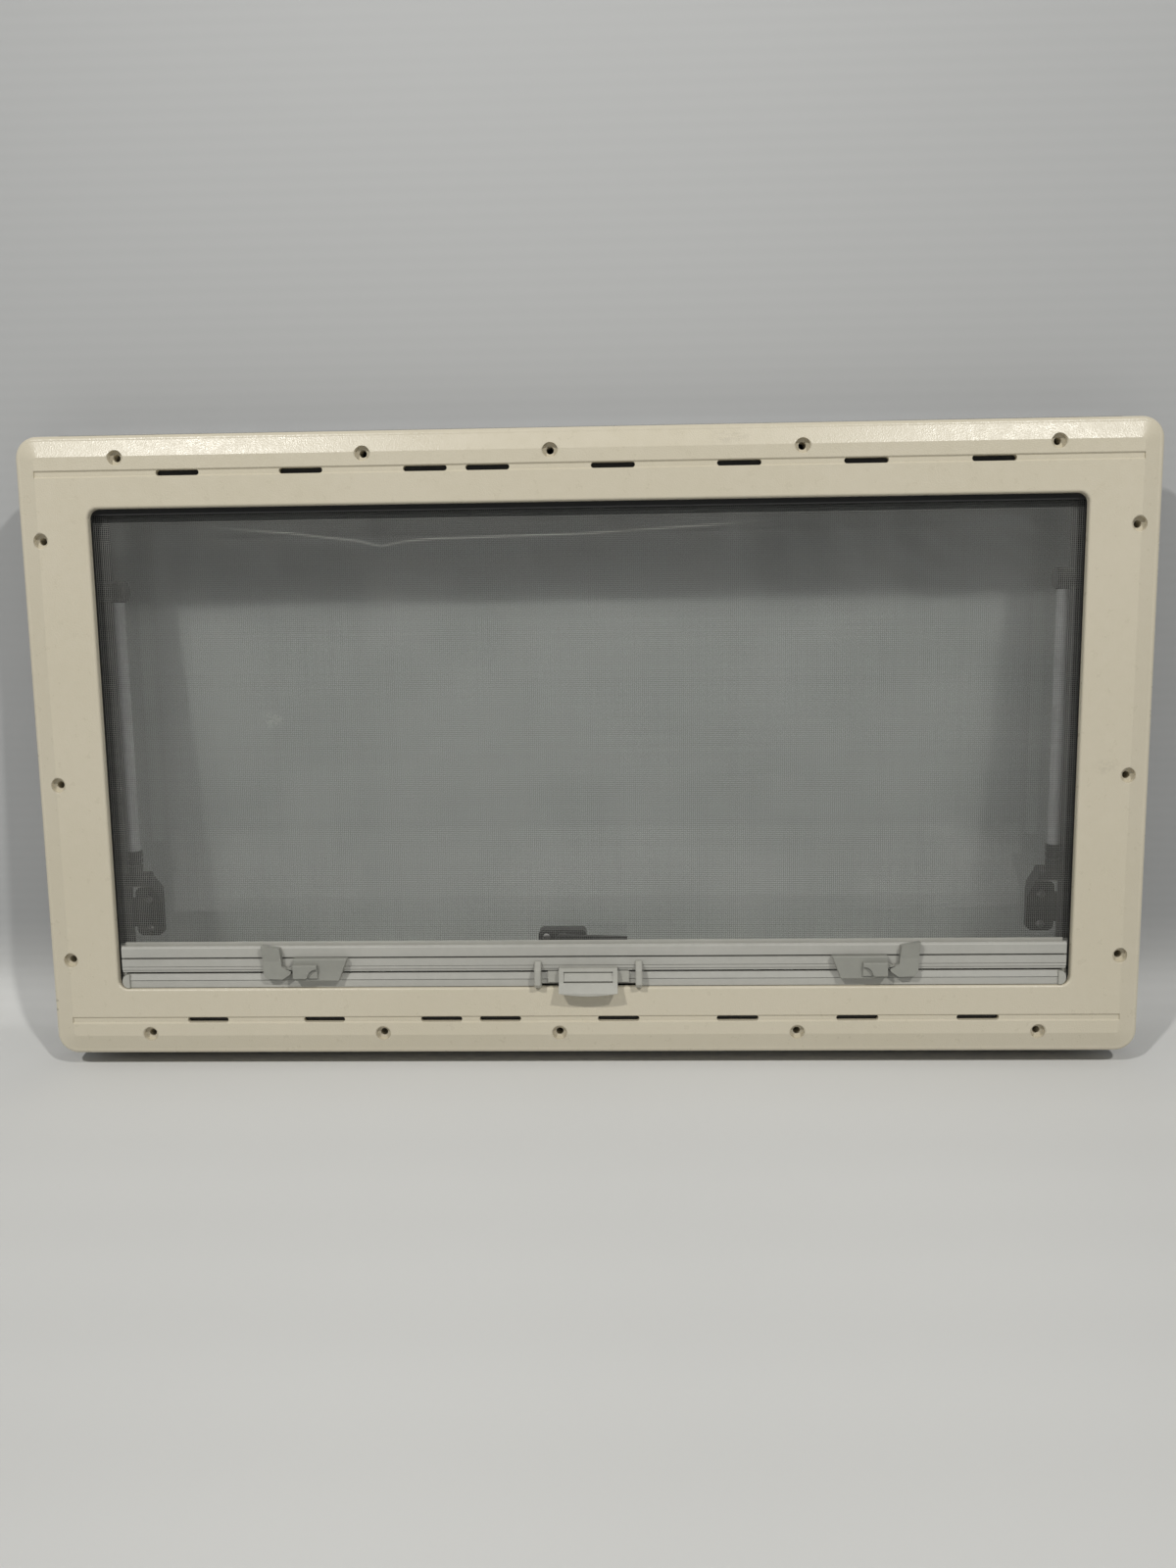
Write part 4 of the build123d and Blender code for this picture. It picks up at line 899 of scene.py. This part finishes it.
@dataclass
class Flyscreen:
    """Woven screen between the roller and its rail, with a welded strip along its foot."""

    columns: int = 96
    rows: int = 44
    ripple: float = 0.0007
    ripple_length: float = 0.11
    ripple_slant: float = 0.4
    ripple_share: float = 0.35
    slack_share: float = 0.65
    slack_waves: float = 5.0
    slack_turn: float = 2.0
    thickness: float = 0.0003
    strip_rise: float = 0.0015
    strip_drop: float = 0.0022
    strip_thickness: float = 0.0009
    strip_edge: float = 0.0003
    smooth_angle: float = 40.0
    low: Vector = field(default_factory=Vector)
    high: Vector = field(default_factory=Vector)

    def build(self) -> tuple[bpy.types.Object, bpy.types.Object]:
        """Make the cloth and its strip where the CAD sheet is.

        Returns:
            The cloth and the strip.
        """
        self.low, self.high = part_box("flyscreen")
        return self.build_cloth(), self.build_strip()

    def build_cloth(self) -> bpy.types.Object:
        """Make the stretched cloth from a grid with faint tension ripples.

        Returns:
            The cloth.
        """
        begin_piece()
        size = self.high - self.low
        middle = (self.low + self.high) / 2
        bpy.ops.mesh.primitive_grid_add(
            x_subdivisions=self.columns, y_subdivisions=self.rows, size=1.0, location=middle,
            rotation=(math.radians(90.0), 0.0, 0.0))
        bpy.context.object.scale = (size.x, size.z, 1.0)
        cloth = settle("flyscreen_cloth")
        for vertex in cloth.data.vertices:
            across = (vertex.co.x - self.low.x) / size.x
            down = (self.high.z - vertex.co.z) / size.z
            held = math.sin(math.pi * across) * math.sin(math.pi * down)
            wave = math.sin(2 * math.pi * (vertex.co.x + self.ripple_slant * vertex.co.z) / self.ripple_length)
            slack = math.sin(self.slack_waves * math.pi * across + self.slack_turn * down)
            vertex.co.y += self.ripple * held * (self.ripple_share * wave + self.slack_share * slack)
        solid = cloth.modifiers.new("thickness", "SOLIDIFY")
        solid.thickness = self.thickness
        solid.offset = 0.0
        apply_modifiers(cloth)
        bpy.ops.object.shade_smooth_by_angle(angle=math.radians(self.smooth_angle))
        return cloth

    def build_strip(self) -> bpy.types.Object:
        """Make the welded strip along the top of the screen rail.

        Returns:
            The strip.
        """
        begin_piece()
        rail_low, rail_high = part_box("screen_rail")
        middle = (self.low + self.high) / 2
        bpy.ops.mesh.primitive_cube_add(size=1.0, location=(
            middle.x, middle.y - (self.strip_thickness + self.thickness) / 2,
            rail_high.z + (self.strip_rise - self.strip_drop) / 2))
        bpy.context.object.scale = (
            rail_high.x - rail_low.x, self.strip_thickness, self.strip_rise + self.strip_drop)
        strip = settle("flyscreen_strip")
        bpy.ops.object.mode_set(mode="EDIT")
        bpy.ops.mesh.select_all(action="SELECT")
        bpy.ops.mesh.bevel(offset=self.strip_edge, segments=2)
        bpy.ops.object.mode_set(mode="OBJECT")
        bpy.ops.object.shade_smooth_by_angle(angle=math.radians(self.smooth_angle))
        return strip

    def dress(self, cloth: bpy.types.Object, strip: bpy.types.Object) -> None:
        dress(cloth, Slot.MESH)
        dress(strip, Slot.RAIL)
        for piece, slot in ((cloth, Slot.MESH), (strip, Slot.RAIL)):
            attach(piece, "root")
        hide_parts("flyscreen")


@dataclass
class Fasteners:
    """Plated pan-head screws on the stays' brackets and the latch, modelled once and copied."""

    head_radius: float = 0.0034
    head_height: float = 0.0012
    crown: float = 0.0009
    rings: int = 3
    recess_share: float = 0.42
    recess_depth: float = 0.0011
    recess_taper: float = 0.55
    smooth_angle: float = 50.0
    sides: int = 24
    bracket_rises: tuple[float, ...] = (0.006, 0.033)
    plate_half: float = 0.012
    plate_thick: float = 0.005
    latch_inset: float = 0.007
    latch_drop: float = 0.006

    def build_head(self) -> bpy.types.Object:
        """Model one crowned head with a driver recess at the origin, looking indoors.

        Returns:
            The screw head.
        """
        begin_piece()
        bpy.ops.mesh.primitive_cylinder_add(
            vertices=self.sides, radius=self.head_radius, depth=self.head_height, end_fill_type="NGON",
            location=(0.0, -self.head_height / 2, 0.0), rotation=(math.radians(90.0), 0.0, 0.0))
        head = settle("screw_head")
        select_faces(head, lambda centre, normal: normal.y < -0.9)
        step = self.head_radius * (1.0 - self.recess_share) / self.rings
        for ring in range(self.rings):
            low, high = (math.sin(share / self.rings * math.pi / 2) for share in (ring, ring + 1))
            bpy.ops.mesh.inset(thickness=step)
            bpy.ops.transform.translate(value=(0.0, self.crown * (low - high), 0.0))
        bpy.ops.mesh.extrude_region_move(TRANSFORM_OT_translate={"value": (0.0, self.recess_depth, 0.0)})
        bpy.ops.transform.resize(value=(self.recess_taper, 1.0, self.recess_taper))
        bpy.ops.object.mode_set(mode="OBJECT")
        bpy.ops.object.shade_smooth_by_angle(angle=math.radians(self.smooth_angle))
        return head

    def seats(self) -> dict[str, Vector]:
        """Where the heads sit, by name."""
        places = {}
        for side, sign in (("left", 1.0), ("right", -1.0)):
            low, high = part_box(f"{side}_stay_bracket")
            inner = high.x if sign > 0 else low.x
            for number, rise in enumerate(self.bracket_rises):
                places[f"{side}_bracket_screw_{number + 1}"] = Vector(
                    (inner - sign * self.plate_half, high.y - self.plate_thick, low.z + rise))
        low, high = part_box("latch_base")
        places["latch_screw"] = Vector((low.x + self.latch_inset, low.y, high.z - self.latch_drop))
        return places

    def build(self) -> list[bpy.types.Object]:
        """Copy the head to every seat, each copy with its own mesh.

        Returns:
            The screw heads.
        """
        pattern = self.build_head()
        heads = []
        for name, seat in self.seats().items():
            head = pattern.copy()
            head.data = pattern.data.copy()
            head.name = head.data.name = name
            head.data.transform(Matrix.Translation(seat))
            bpy.context.scene.collection.objects.link(head)
            heads.append(head)
            LOG.info("%s at %.3f %.3f %.3f", name, *seat)
        bpy.data.objects.remove(pattern)
        return heads

    def dress(self, heads: list[bpy.types.Object]) -> None:
        """Plate the heads and let them ride with the part."""
        for head in heads:
            dress(head, Slot.STAY_STEEL)
            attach(head, "root")


@dataclass(frozen=True)
class Paper:
    """Matt backdrop sheet, seen from its front only, with painted light: the floor, lit from above, is painted paler
    than the wall of the same paper, and painted shade grows towards the sides and towards the front.
    """

    name: str
    floor: Tone
    wall: Tone
    ribs: float
    turn_low: float = 0.0
    turn_high: float = 0.09
    cloud: float = 0.06
    # painted shade towards the sides and towards the front
    side_painted_shade: float = 0.1
    fore_painted_shade: float = 0.13
    side_shade_span: tuple[float, float] = (0.1, 0.62)
    fore_shade_span: tuple[float, float] = (0.05, 0.65)
    cloud_scale: float = 1.6
    cloud_share: float = 0.9
    rib_share: float = 0.12
    roughness: float = 0.75

    def make(self) -> bpy.types.Material:
        """Build the material.

        Returns:
            The finished material.
        """
        material, graph, output = new_material(self.name)
        point = graph.object_point()
        cloud = graph.add("ShaderNodeTexNoise", {"Vector": point, "Scale": self.cloud_scale, "Detail": 1.0})
        lines = graph.add("ShaderNodeTexWave", {"Vector": point, "Scale": self.ribs}, bands_direction="Z")
        clouds = graph.math("MULTIPLY", cloud.outputs["Fac"], self.cloud_share)
        tone = graph.math("MULTIPLY_ADD", lines.outputs["Fac"], self.rib_share, clouds)
        across, along, height = graph.add("ShaderNodeSeparateXYZ", {0: point}).outputs
        # painted light: the floor is painted paler than the wall of the same paper
        colour = graph.blend(graph.remap(height, self.turn_low, self.turn_high), linear(self.floor), linear(self.wall))
        # painted shade: darker towards the sides and towards the front of the floor
        sides = graph.remap(graph.math("ABSOLUTE", across), *self.side_shade_span, 0.0, self.side_painted_shade)
        fore_shade = graph.remap(graph.math("MULTIPLY", along, -1.0), *self.fore_shade_span, 0.0, self.fore_painted_shade)
        cloudy = graph.math("MULTIPLY", graph.remap(tone, 0.25, 0.85), self.cloud)
        for share in (cloudy, sides, fore_shade):
            colour = graph.blend(share, colour, (0.0, 0.0, 0.0, 1.0))
        sheet = graph.add("ShaderNodeBsdfPrincipled", {"Base Color": colour, "Roughness": self.roughness})
        clear = graph.add("ShaderNodeBsdfTransparent")
        side = graph.add("ShaderNodeNewGeometry")
        surface = graph.add("ShaderNodeMixShader", {
            0: side.outputs["Backfacing"], 1: sheet.outputs[0], 2: clear.outputs[0]})
        graph.feed(output.inputs["Surface"], surface.outputs[0])
        return material


@dataclass
class Studio:
    """Pale cove, two lamps from above on either hand, soft fill and the photograph's camera."""

    floor_reach: float = 3.2
    half_width: float = 3.6
    stand: float = 0.016
    lean: float = 0.108
    wall_foot: float = 0.081
    wall_height: float = 2.6
    cove_radius: float = 0.05
    cove_segments: int = 16
    lamp_side: float = 1.15
    lamp_front: float = 1.96
    lamp_height: float = 2.05
    lamp_size: float = 0.10
    left_power: float = 33.0
    right_power: float = 30.0
    lamp_colour: tuple[float, float, float] = (1.0, 0.985, 0.95)
    back_power: float = 9.0
    back_offset: tuple[float, float, float] = (0.4, 2.4, 1.6)
    back_size: float = 1.6
    world_colour: tuple[float, float, float, float] = (0.93, 0.96, 1.0, 1.0)
    world_strength: float = 0.22
    camera_place: tuple[float, float, float] = (0.0320, -1.0108, 0.3475)
    camera_turn: tuple[float, float, float] = (0.130006, -0.011555, -0.030518)
    focal_pixels: float = 1202.0
    picture_width: float = 1200.0
    sensor: float = 36.0
    # one paper; the floor's paler tone is painted light
    tones: Paper = Paper("studio_paper", floor=(222, 222, 220), wall=(184, 185, 185), ribs=30.0)

    def build_cove(self, ground: float) -> bpy.types.Object:
        """Make floor and wall as one swept sheet, turned as the part leans back against the wall.

        Args:
            ground: Height of the floor where the part stands.

        Returns:
            The cove.
        """
        begin_piece()
        bpy.ops.mesh.primitive_plane_add(size=1.0, location=(0.0, (self.wall_foot - self.floor_reach) / 2, ground))
        bpy.context.object.scale = (2 * self.half_width, self.floor_reach + self.wall_foot, 1.0)
        cove = settle("studio_cove")
        bpy.ops.object.mode_set(mode="EDIT")
        bpy.ops.mesh.select_mode(type="EDGE")
        bpy.ops.mesh.select_all(action="DESELECT")
        bpy.ops.object.mode_set(mode="OBJECT")
        for edge in cove.data.edges:
            ends = [cove.data.vertices[index].co.y for index in edge.vertices]
            edge.select = min(ends) > self.wall_foot - MILLIMETRE
        bpy.ops.object.mode_set(mode="EDIT")
        bpy.ops.mesh.extrude_region_move(TRANSFORM_OT_translate={"value": (0.0, 0.0, self.wall_height)})
        bpy.ops.mesh.select_all(action="DESELECT")
        bpy.ops.object.mode_set(mode="OBJECT")
        for edge in cove.data.edges:
            ends = [cove.data.vertices[index].co for index in edge.vertices]
            edge.select = all(end.y > self.wall_foot - MILLIMETRE and end.z < ground + MILLIMETRE for end in ends)
        bpy.ops.object.mode_set(mode="EDIT")
        bpy.ops.mesh.bevel(offset=self.cove_radius, segments=self.cove_segments)
        bpy.ops.mesh.select_all(action="SELECT")
        bpy.ops.mesh.normals_make_consistent(inside=False)
        bpy.ops.object.mode_set(mode="OBJECT")
        middle = cove.data.polygons[0]
        if middle.normal.z < -0.5 or middle.normal.y > 0.5:
            cove.data.flip_normals()
        pivot = Matrix.Translation((0.0, self.stand, ground))
        cove.data.transform(pivot @ Matrix.Rotation(math.atan(self.lean), 4, "X") @ pivot.inverted())
        bpy.ops.object.shade_smooth()
        cove.visible_shadow = False
        cove.data.materials.append(self.tones.make())
        cove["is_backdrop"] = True
        LOG.info("cove with the floor at %.4f", ground)
        return cove

    def build_lamp(self, name: str, place: Vector, target: Vector, power: float, size: float) -> bpy.types.Object:
        """Add one square lamp.

        Args:
            name: Name of the lamp.
            place: Where it stands.
            target: What it looks at.
            power: Power in watts.
            size: Side of the lamp.

        Returns:
            The lamp.
        """
        data = bpy.data.lights.new(name, "AREA")
        data.energy = power
        data.size = size
        data.color = self.lamp_colour
        lamp = bpy.data.objects.new(name, data)
        lamp.location = place
        lamp.rotation_euler = (target - place).to_track_quat("-Z", "Y").to_euler()
        bpy.context.scene.collection.objects.link(lamp)
        LOG.info("lamp %s at %.2f %.2f %.2f", name, *place)
        return lamp

    def build_lamps(self, target: Vector) -> None:
        """Add the two key lamps and a soft one behind the part."""
        for name, sign, power in (("left_lamp", -1.0, self.left_power), ("right_lamp", 1.0, self.right_power)):
            place = Vector((sign * self.lamp_side, -self.lamp_front, self.lamp_height))
            self.build_lamp(name, place, target, power, self.lamp_size)
        behind = target + Vector(self.back_offset)
        self.build_lamp("back_lamp", behind, target, self.back_power, self.back_size)

    def build_world(self) -> None:
        """Light the room evenly with a pale sky."""
        world = bpy.data.worlds.new("studio_room")
        world.use_nodes = True
        sky = world.node_tree.nodes["Background"]
        sky.inputs["Color"].default_value = self.world_colour
        sky.inputs["Strength"].default_value = self.world_strength
        bpy.context.scene.world = world

    def build_camera(self) -> bpy.types.Object:
        """Put the camera where the photograph was taken.

        Returns:
            The camera.
        """
        data = bpy.data.cameras.new("photo_camera")
        data.sensor_fit = "HORIZONTAL"
        data.sensor_width = self.sensor
        data.lens = self.sensor * self.focal_pixels / self.picture_width
        camera = bpy.data.objects.new("photo_camera", data)
        turn = Vector(self.camera_turn)
        back = Matrix.Rotation(-turn.length, 3, turn.normalized())
        right, forward, up = (back @ Vector(axis) for axis in ((1, 0, 0), (0, 1, 0), (0, 0, 1)))
        pose = Matrix((right, up, -forward)).transposed().to_4x4()
        pose.translation = Vector(self.camera_place)
        camera.matrix_world = pose
        bpy.context.scene.collection.objects.link(camera)
        bpy.context.scene.camera = camera
        return camera

    def build(self, low: Vector, high: Vector) -> None:
        """Build everything round the part.

        Args:
            low: Lowest corner of the part.
            high: Highest corner of the part.
        """
        self.build_camera()
        self.build_cove(low.z)
        self.build_lamps((low + high) / 2)
        self.build_world()
        bpy.context.scene.view_settings.view_transform = "Standard"


def main() -> None:
    """Build the classes in order and report each piece."""
    logging.basicConfig(level=logging.INFO, format="%(message)s")
    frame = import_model()
    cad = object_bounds()
    Studio().build(*cad)
    PackedSolids(frame).dress()
    screen = Flyscreen()
    screen.dress(*screen.build())
    fasteners = Fasteners()
    fasteners.dress(fasteners.build())


if __name__ == "__main__":
    main()
